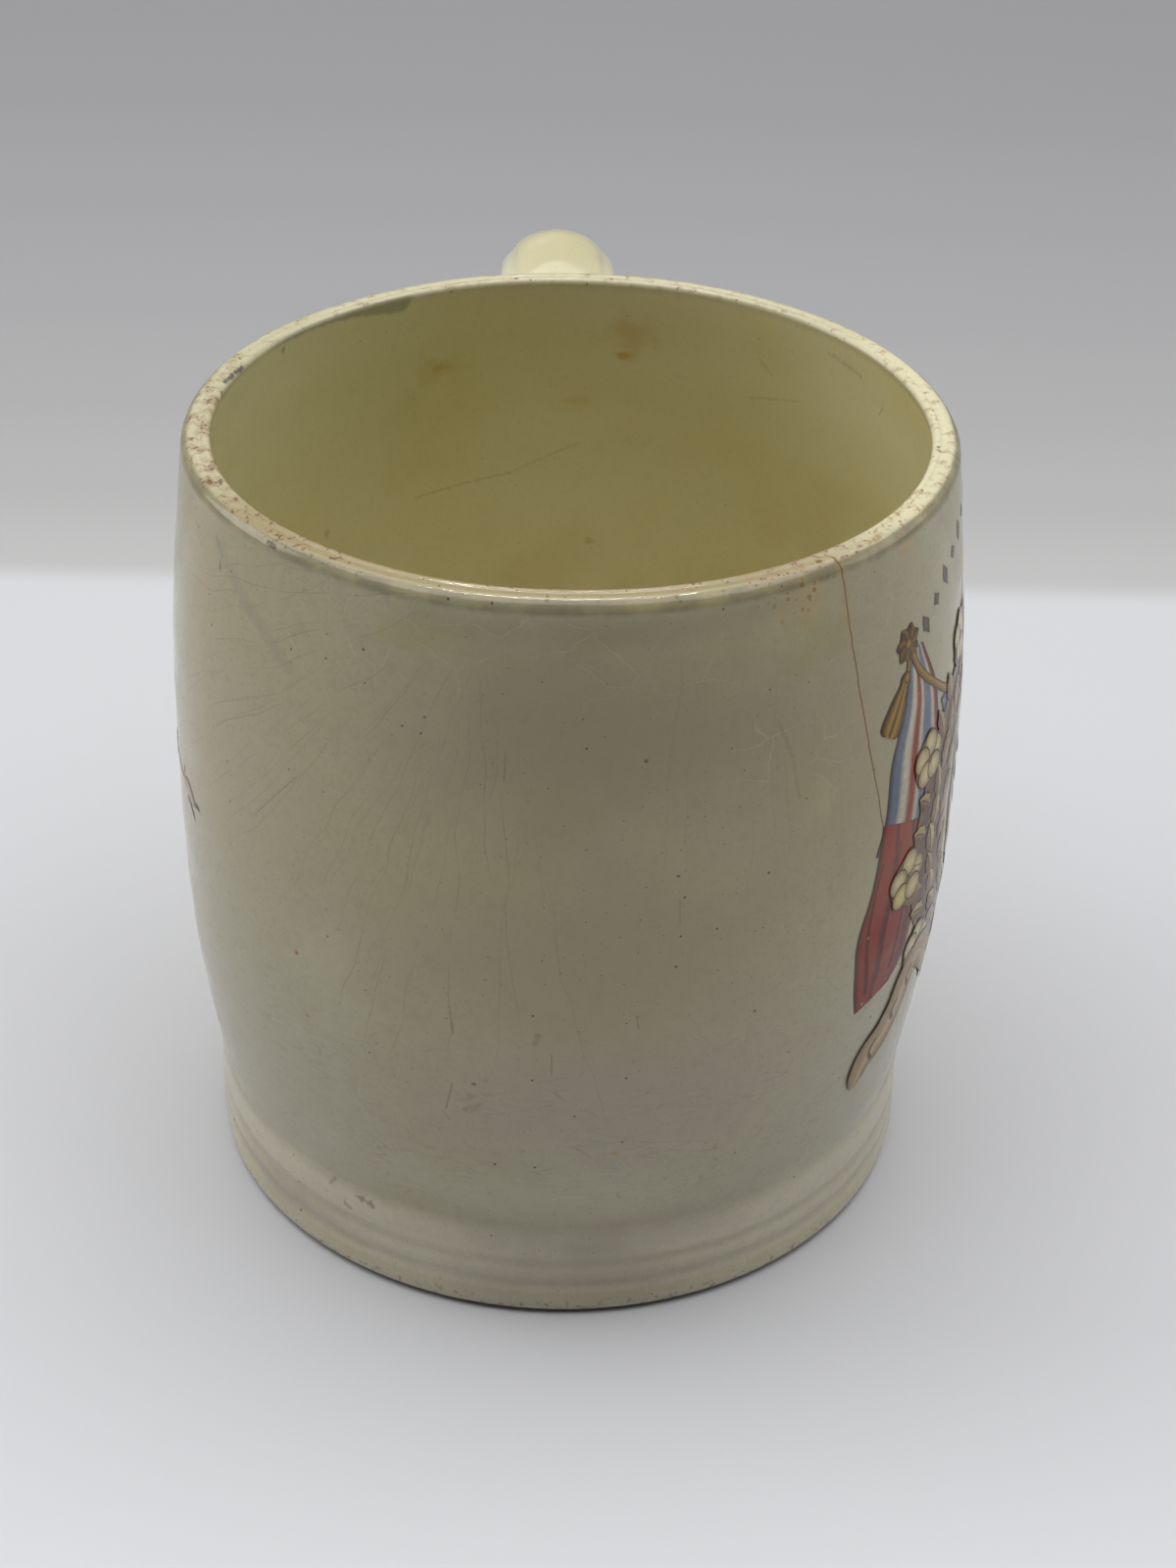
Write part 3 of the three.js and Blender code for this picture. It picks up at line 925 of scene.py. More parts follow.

# Scratches and fine streaks, outside and inside, and one wide streak of painted reflection
wall_streaks_and_reflection = (
    # Painted reflection: the first, wide soft streak is a darker diagonal band at the left
    ((-38.5, 76.0), (-27.5, 68.8), 1.1, 0.6, paint(134, 137, 112), 0.36),
    ((-38.9, 76.6), (-37.6, 75.2), 0.2, 0.4, paint(110, 108, 86), 0.5),
    ((-31.6, 52.0), (-26.2, 58.4), 0.11, 0.22, paint(104, 92, 66), 0.45),
    ((-11.7, 26.4), (-11.0, 29.7), 0.14, 0.16, paint(110, 72, 52), 0.55),
    ((-9.8, 26.6), (-8.6, 27.4), 0.42, 1.5, paint(118, 92, 60), 0.4),
    ((-9.5, 28.2), (-9.3, 28.6), 0.4, 1.3, paint(118, 92, 60), 0.36),
    ((-10.8, 35.6), (-11.2, 38.8), 0.13, 0.3, paint(90, 82, 62), 0.5),
    ((-3.6, 35.6), (-3.3, 36.6), 0.34, 0.9, paint(122, 98, 70), 0.5),
    ((-2.1, 32.0), (-2.1, 34.4), 0.12, 0.14, paint(120, 96, 54), 0.55),
    ((8.6, 50.8), (8.7, 48.3), 0.13, 0.16, paint(132, 108, 62), 0.5),
    ((-6.4, 65.6), (-6.5, 63.2), 0.1, 0.1, paint(92, 80, 58), 0.55),
    ((5.2, 38.6), (5.4, 37.2), 0.12, 0.14, paint(104, 84, 60), 0.5),
    ((17.4, 66.8), (18.9, 63.0), 0.3, 0.2, paint(124, 116, 78), 0.4),
    ((18.9, 63.0), (19.7, 58.6), 0.24, 0.2, paint(124, 116, 78), 0.35),
    ((-25.6, 10.5), (-26.2, 9.7), 0.36, 0.9, paint(126, 100, 66), 0.6),
    ((-22.6, 9.9), (-20.6, 9.6), 0.4, 1.1, paint(112, 86, 56), 0.8),
    ((-24.2, 8.3), (-23.6, 8.0), 0.36, 1.0, paint(132, 104, 70), 0.6),
)
colour = streaked(colour, wall_streaks_and_reflection, unrolled, times(tree, outside, 0.7))
inner_streaks = (
    ((15.6, 55.1), (5.2, 56.6), 0.24, 0.5, paint(110, 102, 58), 0.34),
    ((5.2, 56.6), (-2.1, 60.2), 0.22, 0.5, paint(120, 112, 64), 0.26),
    ((-22.0, 73.6), (-23.6, 72.2), 0.2, 0.3, paint(128, 116, 72), 0.4),
    ((-31.5, 77.2), (-36.5, 76.6), 0.35, 0.9, paint(136, 128, 92), 0.5),
    ((-40.4, 74.6), (-39.6, 73.6), 0.2, 0.3, paint(84, 72, 50), 0.5),
    ((-21.0, 68.8), (-27.0, 70.2), 0.22, 0.6, paint(140, 128, 84), 0.35),
)
colour = streaked(colour, inner_streaks, from_back, times(tree, inside, 0.5))

# The lip: bright rounded top, a grey band below it, part rubbed grey line and part painted shade,
# pinkish wear and rust-brown grains
# Painted shade dulls the lip's top in front, and a painted highlight lightens it on the right
shaded_near_lip = band(tree, azimuth, -78.0, -48.0, 26.0, 50.0)
lit_right_lip = band(tree, azimuth, 42.0, 60.0, 108.0, 140.0)
lip_tint = mix(tree, lit_right_lip, lip_cream, lip_painted_highlight)
lip_tint = mix(tree, shaded_near_lip, lip_tint, lip_painted_shade)
colour = mix(tree, on_lip, colour, lip_tint)
# Partly painted shade: the grey band darkens the outer round of the lip, over a rubbed grey line
grey_band_and_shade = band(tree, past, -2.8, -2.3, -1.3, -0.9)
grey_band_and_shade = times(tree, grey_band_and_shade, cloud(tree, solid_place, 280, 6, 0.28, 0.62))
colour = overlay(tree, colour, band_grey_and_shade, grey_band_and_shade, 0.55)

left_wear = band(tree, azimuth, -118.0, -106.0, -66.0, -52.0)
left_spots = band(tree, azimuth, -70.0, -58.0, -34.0, -26.0)
right_wear = band(tree, azimuth, 4.0, 14.0, 38.0, 50.0)
near_edge = times(
    tree, band(tree, azimuth, -62.0, -44.0, 34.0, 46.0), band(tree, past, 0.3, 0.6, 1.0, 1.4),
)
worn = most(tree, left_wear, times(tree, left_spots, 0.8), times(tree, right_wear, 0.8), 0.1)
rub = add(tree, "TexNoise", noise_dimensions="2D")
feed(tree, rub, {"Vector": lip_place, "Scale": 0.7, "Detail": 6.0, "Roughness": 0.6})
rub_level = reckon(tree, "MULTIPLY_ADD", worn, 0.12, rub.outputs["Fac"])
rubbed = times(tree, between(tree, rub_level, 0.5, 0.76), on_lip)
colour = overlay(tree, colour, worn_pink, rubbed, 0.7)
edge_wear = times(tree, near_edge, cloud(tree, solid_place, 500, 3, 0.35, 0.55))
colour = overlay(tree, colour, edge_brown, edge_wear, 0.5)

lip_zone = band(tree, past, -1.9, -1.1, 1.2, 1.7)
fine_share = most(
    tree, times(tree, left_wear, 0.4), times(tree, right_wear, 0.7),
    times(tree, near_edge, 0.5), 0.12,
)
fine_specks = use(tree, specks_group, {
    "Place": lip_place, "Spacing": 0.55, "Radius": 0.2, "Share": fine_share,
})
gathered = between(tree, flat_noise(tree, lip_place, 0.7, 3.0), 0.44, 0.62)
fine_grains = times(tree, fine_specks, gathered)
colour = overlay(tree, colour, worn_brown, fine_grains, lip_zone, 0.75)
coarse_amount = most(tree, times(tree, left_spots, 1.1), left_wear, 0.3)
coarse_grains = use(tree, wear_group, {"Place": lip_place, "Grain": 2.2, "Amount": coarse_amount})
colour = overlay(tree, colour, worn_brown, coarse_grains, lip_zone, 0.7)
ochre_zone = times(
    tree, band(tree, azimuth, 40.0, 45.0, 58.0, 66.0), band(tree, past, -2.4, -1.6, 1.2, 1.7),
)
ochre_grains = use(tree, wear_group, {"Place": lip_place, "Grain": 2.0, "Amount": 1.3})
colour = overlay(tree, colour, worn_ochre, ochre_grains, ochre_zone, 0.5)

# Ochre grains in the stain beside the crack
stained_spot = use(tree, stain_group, {
    "Place": unrolled, "Centre": (19.6, 78.0, 0), "Size": (5.0, 2.8, 1), "Ragged": 1.2,
    "Grain": 0.6,
})
stain_grains = use(tree, specks_group, {
    "Place": unrolled, "Spacing": 0.7, "Radius": 0.24, "Share": 0.42,
})
colour = overlay(tree, colour, ochre_dark, stain_grains, stained_spot, outside, 0.8)

# Grey smear just inside the far lip, thicker to its round end, and dark marks left of it
smear_run = between(tree, azimuth, -122.0, -150.0)
smear_ragged = times(tree, flat_noise(tree, lip_place, 0.9), 0.5)
smear_depth = reckon(tree, "MULTIPLY_ADD", reckon(tree, "POWER", smear_run, 4.0), 1.1, smear_ragged)
smear_depth = times(tree, smear_depth, between(tree, azimuth, -153.6, -150.6))
smear_low = reckon(tree, "ADD", smear_depth, 1.0)
smear = band(tree, past, 0.75, 1.15, smear_low, reckon(tree, "ADD", smear_low, 0.5))
smear = times(tree, smear, band(tree, azimuth, -154.0, -151.5, -126.0, -116.0))
colour = overlay(tree, colour, smear_grey, smear, 0.6)
lip_marks = (
    ((-71.4, 1.0), (-67.0, 0.7), 0.3, 0.8, paint(78, 82, 88), 0.85),
    ((-30.9, -1.7), (-29.9, -1.8), 0.3, 0.6, paint(84, 62, 50), 0.8),
    ((-43.6, 0.4), (-42.8, 0.2), 0.3, 0.5, paint(78, 62, 58), 0.7),
)
colour = streaked(colour, lip_marks, lip_place, 1.0)

# The crack that runs down from the lip, red-brown near it, with a faint stained edge
drop = reckon(tree, "SUBTRACT", cup_height, height)
bend = reckon(tree, "MULTIPLY_ADD", drop, 0.24, between(tree, past, -1.0, 1.3, 37.3, 34.0))
crack_path = reckon(tree, "MULTIPLY_ADD", times(tree, drop, drop), 0.0032, bend)
wander = add(tree, "TexNoise", noise_dimensions="1D")
feed(tree, wander, {"W": height, "Scale": 0.5, "Detail": 4.0})
wander = reckon(tree, "SUBTRACT", wander.outputs["Fac"], 0.5)
crack_path = reckon(tree, "MULTIPLY_ADD", wander, 0.28, crack_path)
off_crack = reckon(tree, "ABSOLUTE", reckon(tree, "SUBTRACT", azimuth, crack_path))
off_crack = times(tree, off_crack, math.radians(mean_radius))
cracked = times(tree, between(tree, height, 50.0, 52.0), between(tree, past, 1.3, 1.6, 1.0, 0.0))
crack = times(tree, between(tree, off_crack, 0.04, 0.12, 1.0, 0.0), cracked)
halo = times(tree, between(tree, off_crack, 0.1, 0.9, 1.0, 0.0), cracked, 0.4)
colour = overlay(tree, colour, crack_halo, halo)
crack_tint = mix(tree, between(tree, height, 66.0, 76.0), crack_brown, crack_red)
colour = overlay(tree, colour, crack_tint, crack, 0.8)

# The nick in the lip, brown where the glaze is gone
nick_off = reckon(tree, "SUBTRACT", azimuth, nick_azimuth)
nick_off = reckon(tree, "ABSOLUTE", reckon(tree, "MULTIPLY_ADD", past, -nick_lean, nick_off))
nick_off = times(tree, nick_off, math.radians(mean_radius))
nick = times(
    tree, between(tree, nick_off, 0.06, 0.2, 1.0, 0.0), band(tree, past, -1.9, -1.5, 0.1, 0.5),
)
colour = overlay(tree, colour, nick_brown, nick, 0.85)

# Pinholes, and single specks
pinholes = use(tree, specks_group, {
    "Place": unrolled, "Spacing": 4.0, "Radius": 0.12, "Share": 0.26,
})
fine_pinholes = use(tree, specks_group, {
    "Place": unrolled, "Spacing": 1.7, "Radius": 0.08, "Share": 0.4,
})
pits = most(tree, pinholes, times(tree, fine_pinholes, 0.55))
pits = times(tree, pits, off_lip, reckon(tree, "MULTIPLY_ADD", inside, -0.7, 1.0))
colour = overlay(tree, colour, pit_black, pits, 0.75)
single_specks = (
    ((-26.8, 39.0), (0.34, 0.38), 0.5, 3.0, paint(158, 60, 44), 0.9),
    ((5.4, 65.2), (0.3, 0.24), 0.5, 3.0, pit_black, 0.9),
    ((-13.5, 68.2), (0.2, 0.2), 0.5, 3.0, pit_black, 0.85),
    ((-13.8, 66.6), (0.2, 0.2), 0.5, 3.0, pit_black, 0.85),
    ((-19.4, 73.1), (0.24, 0.2), 0.5, 3.0, pit_black, 0.85),
    ((8.4, 53.4), (0.24, 0.24), 0.5, 3.0, pit_black, 0.85),
    ((16.3, 36.6), (0.26, 0.24), 0.5, 3.0, pit_black, 0.8),
    ((-9.0, 30.1), (0.36, 0.3), 0.5, 3.0, paint(84, 74, 56), 0.8),
    ((3.8, 21.7), (0.55, 0.35), 0.5, 3.0, paint(176, 142, 76), 0.8),
    ((-26.0, 32.0), (0.5, 0.3), 0.5, 3.0, paint(140, 104, 62), 0.6),
    ((-36.0, 64.0), (0.4, 0.7), 0.5, 3.0, paint(150, 128, 80), 0.4),
)
colour = stained(colour, single_specks, unrolled, outside)

# Bare, gritty clay under the foot, darkened at its lowest edge by painted shadow where it meets the
# table, with brown grains along its lower edge
bare = times(tree, between(tree, height, 1.3, 0.9), outside)
colour = overlay(tree, colour, bare_clay, bare, 0.6)
# Painted shadow: the lowest half millimetre of the foot is darkened where it meets the table
contact_shadowed = times(tree, between(tree, height, 0.6, 0.3), outside)
colour = overlay(tree, colour, foot_contact_shadow, contact_shadowed, 0.7)
foot_zone = times(tree, between(tree, height, 2.6, 1.2), outside)
foot_grains = use(tree, wear_group, {"Place": unrolled, "Grain": 1.6, "Amount": 1.1})
colour = overlay(tree, colour, foot_brown, foot_grains, foot_zone, 0.55)

# Glossiest on the lip, and dull where it is rubbed or bare
glaze = outputs_of(tree, glaze_group, {
    "Wave scale": 95.0, "Wave height": 0.03, "Glossiest": 0.1, "Dullest": 0.2,
})
lip_gloss = reckon(tree, "MULTIPLY_ADD", on_lip, -0.7, 1.0)
dull = most(tree, times(tree, rubbed, 0.35), bare)
roughness = times(tree, glaze["Roughness"], lip_gloss)
roughness = reckon(tree, "MULTIPLY_ADD", dull, 0.45, roughness)

# Soft waves of the glaze, with shallow grooves where it has crazed or chipped
ripple = times(tree, cloud(tree, solid_place, 900, 2, 0.3, 0.7), on_lip)
relief = glaze["Relief"]
for mark, depth in (
    (crazed, -0.008), (arcs, 0.006), (crack, -0.05), (pits, -0.03), (fine_grains, -0.012),
    (rubbed, -0.015), (ripple, 0.006),
):
    relief = reckon(tree, "MULTIPLY_ADD", mark, depth, relief)
glazed(tree, shader, colour, roughness, relief)

cup_body = stand_on_axis("cup_body", body_mesh, body_glaze)
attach(cup_body, "root")
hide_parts("body")


# Strap handle
# A flattened, crowned strip of the same clay, pulled narrower at the middle, bent into an
# ear and luted on with slip at both ends, then glazed with the cup.
handle_reach = 27.2
outermost_height = 54
upper_joint_height = cup_height - 10.4
lower_joint_height = 24
upper_rise = 10.7
upper_run = 10.5
shoulder_lift = 17.5
elbow_drop = 15
lower_run = 13
lower_rise = 2.6
strap_width = 13.1
strap_middle_width = 11.4
strap_crown = 4.6
strap_back = 2.2
crown_power = 1.1
back_power = 0.7
shoulder_dip = 0.07
shoulder_up = 0.52
shoulder_spread = 0.16
buried_tail = 9
strap_sides = 56
strap_rings = 150
strap_sunk = 0.8
clear_of_wall = 0.22
look_ahead = 0.004
halvings = 36
handle_cream = paint(229, 225, 197)
handle_warm = paint(223, 216, 181)
crest_yellow = paint(186, 174, 116)
handle_craze = paint(140, 118, 78)
handle_pit = paint(96, 78, 54)
wall_outline = np.concatenate([
    bezier(lower_barrel(0, foot_band), 200), bezier(upper_barrel(0, outer_lip_start), 200),
])


def wall_radius(height):
    return np.interp(height, wall_outline[:, 1], wall_outline[:, 0])


def handle_line():
    """Middle of the strap as (out from the axis, up), with straight tails into the wall."""
    upper = np.array([wall_radius(upper_joint_height), upper_joint_height])
    lower = np.array([wall_radius(lower_joint_height), lower_joint_height])
    out = belly_radius + handle_reach - strap_crown
    leaving = upper + (upper_run, upper_rise)
    arriving = lower + (lower_run, lower_rise)
    furthest = (out, outermost_height)
    over = bezier([upper, leaving, (out, outermost_height + shoulder_lift), furthest], 200)
    under = bezier([furthest, (out, outermost_height - elbow_drop), arriving, lower], 200)
    first_tail = upper - (leaving - upper) / np.linalg.norm(leaving - upper) * buried_tail
    last_tail = lower - (arriving - lower) / np.linalg.norm(arriving - lower) * buried_tail
    points = np.concatenate([
        straight(first_tail, upper, 40), over, under, straight(lower, last_tail, 40), [last_tail],
    ])
    run = np.concatenate([[0], np.cumsum(np.linalg.norm(np.diff(points, axis=0), axis=1))])
    return points, run / run[-1]


line_points, line_share = handle_line()


def on_line(share):
    return np.stack([np.interp(share, line_share, line_points[:, i]) for i in (0, 1)], -1)


def strap_surface(side, share):
    """Points of the strap: side is the angle round its section, share the way along it."""
    centre = on_line(share)
    way = on_line(share + look_ahead) - on_line(share - look_ahead)
    way = way / np.linalg.norm(way, axis=-1, keepdims=True)
    outward = np.stack([-way[..., 1], way[..., 0]], -1)
    width = strap_width - (strap_width - strap_middle_width) * np.sin(np.pi * share) ** 2
    across, out = np.cos(side), np.sin(side)
    power = np.where(out < 0, back_power, crown_power)
    shoulder = 1 - shoulder_dip * np.exp(-((out - shoulder_up) / shoulder_spread) ** 2)
    x = width / 2 * np.sign(across) * np.abs(across) ** power * shoulder
    lift = np.where(out < 0, strap_back, strap_crown) * out
    level = centre[..., 0] + outward[..., 0] * lift
    up = centre[..., 1] + outward[..., 1] * lift
    return np.stack([x, level, up], -1)


def off_the_wall(points):
    return np.hypot(points[..., 0], points[..., 1]) - wall_radius(points[..., 2])


def share_off_wall(side, buried, free, distance):
    """How far along the strap each side of its section stands a distance off the wall."""
    near = np.full(side.shape, float(buried))
    far = np.full(side.shape, float(free))
    for _ in range(halvings):
        middle = (near + far) / 2
        under = off_the_wall(strap_surface(side, middle)) < distance
        near = np.where(under, middle, near)
        far = np.where(under, far, middle)
    return near


sides = np.arange(strap_sides) * 2 * np.pi / strap_sides
upper_start = share_off_wall(sides, 0.0, clear_of_wall, -strap_sunk)
lower_end = share_off_wall(sides, 1.0, 1 - clear_of_wall, -strap_sunk)
strap_shares = np.linspace(0, 1, strap_rings)
strap_rows = [
    strap_surface(sides, upper_start * (1 - s) + lower_end * s) for s in strap_shares
]
strap_mesh = skin("strap_handle", strap_rows, closed=False)

handle_glaze, tree, shader = new_material("handle_glaze")
solid_place = add(tree, "TexCoord").outputs["Object"]
colour = mix(tree, cloud(tree, solid_place, 60, 3, 0.4, 0.7), handle_cream, handle_warm)

# Thick yellower glaze over the crest of the loop
split = parts(tree, solid_place)
crest = between(tree, split["Z"], 74.5 * MM, 79 * MM)
crest = times(tree, crest, cloud(tree, solid_place, 150, 3, 0.15, 0.55))
colour = overlay(tree, colour, crest_yellow, crest, 0.6)

# Crazing and pinholes that run round the strap
handle_cells = add(tree, "TexVoronoi", feature="DISTANCE_TO_EDGE")
feed(tree, handle_cells, {"Vector": solid_place, "Scale": 260.0})
lines = between(tree, handle_cells.outputs["Distance"], 0.0, 0.02, 1.0, 0.0)
lines = times(tree, lines, cloud(tree, solid_place, 120, 2, 0.45, 0.65))
colour = overlay(tree, colour, handle_craze, lines, 0.12)


def solid_dots(tree, place, scale, inner, outer, share):
    """Round dots through the whole of a body, in a share of its cells."""
    cells = add(tree, "TexVoronoi")
    feed(tree, cells, {"Vector": place, "Scale": scale})
    chance = feed(tree, add(tree, "SeparateColor"), {0: cells.outputs["Color"]})
    chosen = reckon(tree, "LESS_THAN", chance.outputs["Red"], share)
    return times(tree, between(tree, cells.outputs["Distance"], inner, outer, 1.0, 0.0), chosen)


pits = solid_dots(tree, solid_place, 240.0, 0.02, 0.045, 0.25)
colour = overlay(tree, colour, handle_pit, pits, 0.6)
glaze = outputs_of(tree, glaze_group, {
    "Wave scale": 110.0, "Wave height": 0.07, "Glossiest": 0.1, "Dullest": 0.2,
})
relief = reckon(tree, "MULTIPLY_ADD", pits, -0.03, glaze["Relief"])
glazed(tree, shader, colour, glaze["Roughness"], relief)

strap_handle = stand_on_axis("strap_handle", strap_mesh, handle_glaze)
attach(strap_handle, "root")
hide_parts("handle")


# Slip fillets at the handle's two joints
# Liquid clay squeezed out when each end of the strap was pressed on, wiped round with a
# finger to a hollow fillet, and glazed over.
slip_reach = 2.4
slip_flare = 2.6
slip_steps = 12
slip_cover = 0.04
slip_sunk = 0.6
slip_bend = 0.2
easing_rounds = 14
slip_cream = paint(208, 201, 166)
slip_warm = paint(203, 194, 153)


def eased(ring):
    """A closed ring of points with its corners rounded off."""
    for _ in range(easing_rounds):
        ring = (np.roll(ring, 1, axis=0) + 2 * ring + np.roll(ring, -1, axis=0)) / 4
    return ring


def slip_ring(name, buried, free):
    """A hollow fillet between the strap and the wall, its edges sunk into both."""
    root = strap_surface(sides, share_off_wall(sides, buried, free, 0.0))
    top = strap_surface(sides, share_off_wall(sides, buried, free, slip_reach))
    beside = np.roll(root, -1, axis=0) - np.roll(root, 1, axis=0)
    wall_out = np.stack([root[:, 0], root[:, 1], 0 * root[:, 0]], -1)
    wall_out /= np.linalg.norm(wall_out, axis=-1, keepdims=True)
    away = np.cross(beside, wall_out)
    away /= np.linalg.norm(away, axis=-1, keepdims=True)
    middle = root.mean(axis=0)
    away *= np.sign(np.sum(away * (root - middle), axis=-1, keepdims=True))

    def on_wall(points, distance):
        reach = np.hypot(points[:, 0], points[:, 1])
        factor = (wall_radius(points[:, 2]) + distance) / reach
        return np.stack([points[:, 0] * factor, points[:, 1] * factor, points[:, 2]], -1)

    spread = eased(root + away * slip_flare)
    foot = on_wall(spread, slip_cover)
    bend = on_wall(root + away * slip_bend, slip_cover)
    rise = top + away * slip_cover
    rows = [on_wall(root - away * slip_sunk, -slip_sunk), rise - away * slip_sunk]
    for step in range(slip_steps + 1):
        t = step / slip_steps
        rows.append(rise * (1 - t) ** 2 + bend * 2 * t * (1 - t) + foot * t ** 2)
    rows.append(on_wall(spread, -slip_sunk))
    return skin(name, np.array(rows))


slip_glaze, tree, shader = new_material("slip_glaze")
solid_place = add(tree, "TexCoord").outputs["Object"]
colour = mix(tree, cloud(tree, solid_place, 70, 3, 0.35, 0.65), slip_cream, slip_warm)
glaze = outputs_of(tree, glaze_group, {
    "Wave scale": 150.0, "Wave height": 0.08, "Glossiest": 0.1, "Dullest": 0.22,
})
glazed(tree, shader, colour, glaze["Roughness"], glaze["Relief"])

for name, node, buried, free in (
    ("upper_joint_fillet", "upper_joint_slip", 0.0, clear_of_wall),
    ("lower_joint_fillet", "lower_joint_slip", 1.0, 1 - clear_of_wall),
):
    fillet = stand_on_axis(name, slip_ring(name, buried, free), slip_glaze)
    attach(fillet, "root")
    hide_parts(node)


# Transfer print on the right side
# A festive design in ceramic inks, laid on from a paper transfer and fired: striped ribbons
# with red backs, gold rosettes with fluted drops, bunting, a wreath of leaves and pale
# blossoms, a scroll and an arc of lozenges.
print_azimuth = 90
print_lift = 0.02
layer_lift = 0.006
print_radius = 38
ink_red = (148, 50, 36)
ink_deep_red = (92, 28, 26)
ink_blue = (104, 118, 140)
ink_deep_blue = (64, 74, 98)
ink_white = (206, 200, 178)
ink_gold = (132, 92, 16)
ink_deep_gold = (60, 38, 8)
ink_pale_gold = (176, 134, 40)
ink_cream = (222, 208, 134)
ink_tan = (176, 150, 96)
ink_brown = (122, 90, 56)
ink_deep_brown = (78, 54, 34)
ink_outline = (78, 56, 38)
ink_ribbon = (160, 132, 94)
ink_pale_ribbon = (190, 168, 130)
ink_deep_ribbon = (116, 88, 60)
ink_grey = (84, 78, 68)
ink_stipple = (92, 74, 60)
ink_washed = (196, 186, 156)


def shade_between(first, second, share):
    return tuple(a + (b - a) * share for a, b in zip(first, second))


def blank_transfer(base):
    """A sheet with nothing on it; base is how many layers of ink lie under it."""
    return {"base": base, "points": [], "faces": [], "tones": []}


def lay(transfer, rows, tones, layer):
    """Adds a grid of points (across the print, up it) with a tone for each to a transfer."""
    count, across = len(rows), len(rows[0])
    start = len(transfer["points"])
    for i in range(count):
        for j in range(across):
            transfer["points"].append((rows[i][j][0], rows[i][j][1], transfer["base"] + layer))
            transfer["tones"].append(tones[i][j])
    for i in range(count - 1):
        for j in range(across - 1):
            a = start + i * across + j
            transfer["faces"].append((a, a + 1, a + across + 1, a + across))


def stroke(transfer, path, widths, shades, layer):
    """A band along a path, with its shades given across it from left to right."""
    path = np.asarray(path, float)
    way = np.gradient(path, axis=0)
    way /= np.linalg.norm(way, axis=1, keepdims=True) + 1e-9
    side = np.stack([-way[:, 1], way[:, 0]], 1)
    widths = np.broadcast_to(widths, len(path))
    across = np.linspace(-0.5, 0.5, len(shades))
    rows = [[tuple(p + n * w * -a) for a in across] for p, n, w in zip(path, side, widths)]
    lay(transfer, rows, [list(shades)] * len(path), layer)


def curve_through(*points, count=30):
    """A smooth path through a few points."""
    points = np.array(points, float)
    ends = np.concatenate([[2 * points[0] - points[1]], points, [2 * points[-1] - points[-2]]])
    pieces = []
    share = max(count // (len(points) - 1), 3)
    for a, b, c, d in zip(ends, ends[1:], ends[2:], ends[3:]):
        t = (np.arange(share) / share)[:, None]
        second = (2 * a - 5 * b + 4 * c - d) * t ** 2
        third = (3 * b - a - 3 * c + d) * t ** 3
        pieces.append(0.5 * (2 * b + (c - a) * t + second + third))
    return np.concatenate(pieces + [points[-1:]])


def between_edges(transfer, left, right, shades, layer, darker_down=0.0):
    """A drape between two edges, its shades given across it, darker towards its foot."""
    left, right = curve_through(*left, count=40), curve_through(*right, count=40)
    steps = np.linspace(0, 1, 34)
    lines = 14
    edges = []
    for edge in (left, right):
        share = np.linspace(0, 1, len(edge))
        edges.append(np.stack([np.interp(steps, share, edge[:, i]) for i in (0, 1)], 1))
    across = np.linspace(0, 1, lines)
    picks = np.linspace(0, len(shades) - 1, lines).round().astype(int)
    rows = [[tuple(a + (b - a) * s) for s in across] for a, b in zip(*edges)]
    tones = [
        [shade_between(shades[p], ink_deep_brown, darker_down * step) for p in picks]
        for step in steps
    ]
    lay(transfer, rows, tones, layer)


def leaf(transfer, root, angle, length, width, light, dark, layer, lobes=0.0):
    """A leaf with an outline, a light and a dark half and a vein; lobes scallop its edge."""
    along_leaf = np.linspace(0, 1, 17)
    way = np.array([math.cos(angle), math.sin(angle)])
    side = np.array([-way[1], way[0]])
    bow = side * 0.1 * length
    middle = np.array(root) + np.outer(along_leaf * length, way) + np.outer(along_leaf ** 2, bow)
    half = width / 2 * np.sin(np.pi * along_leaf ** 0.85) ** 0.8
    half = half * (1 + lobes * np.cos(along_leaf * 6 * np.pi))
    outline = half + 0.16 * (np.sin(np.pi * along_leaf) * 0.7 + 0.3)
    halves = [light, light, shade_between(light, dark, 0.35), dark, dark]
    shaded = [[shade_between(t, ink_brown, 0.45 * (1 - s)) for t in halves] for s in along_leaf]
    edging = [[ink_outline] * len(halves)] * len(along_leaf)
    for reach, tones, level in ((outline, edging, layer), (half, shaded, layer + 1)):
        across = (-1, -0.5, 0, 0.5, 1)
        rows = [[tuple(m + side * r * a) for a in across] for m, r in zip(middle, reach)]
        lay(transfer, rows, tones, level)
    stroke(transfer, middle[1:-3], 0.14, (ink_deep_brown, ink_deep_brown), layer + 2)


def disc(transfer, centre, radius, middle_tone, edge_tone, layer, squash=1.0):
    """A round spot that shades from its middle to its edge; squash makes it lower."""
    angles = np.linspace(0, 2 * np.pi, 25)
    steps = np.linspace(0.02, 1, max(3, int(radius * 2)))
    rows = []
    tones = []
    for share in steps:
        wide = radius * share
        tall = radius * share * squash
        rows.append([
            (centre[0] + wide * math.cos(a), centre[1] + tall * math.sin(a)) for a in angles
        ])
        tones.append([shade_between(middle_tone, edge_tone, share ** 2)] * len(angles))
    lay(transfer, rows, tones, layer)


def mirrored(side, points):
    return [(side * x, y) for x, y in points]


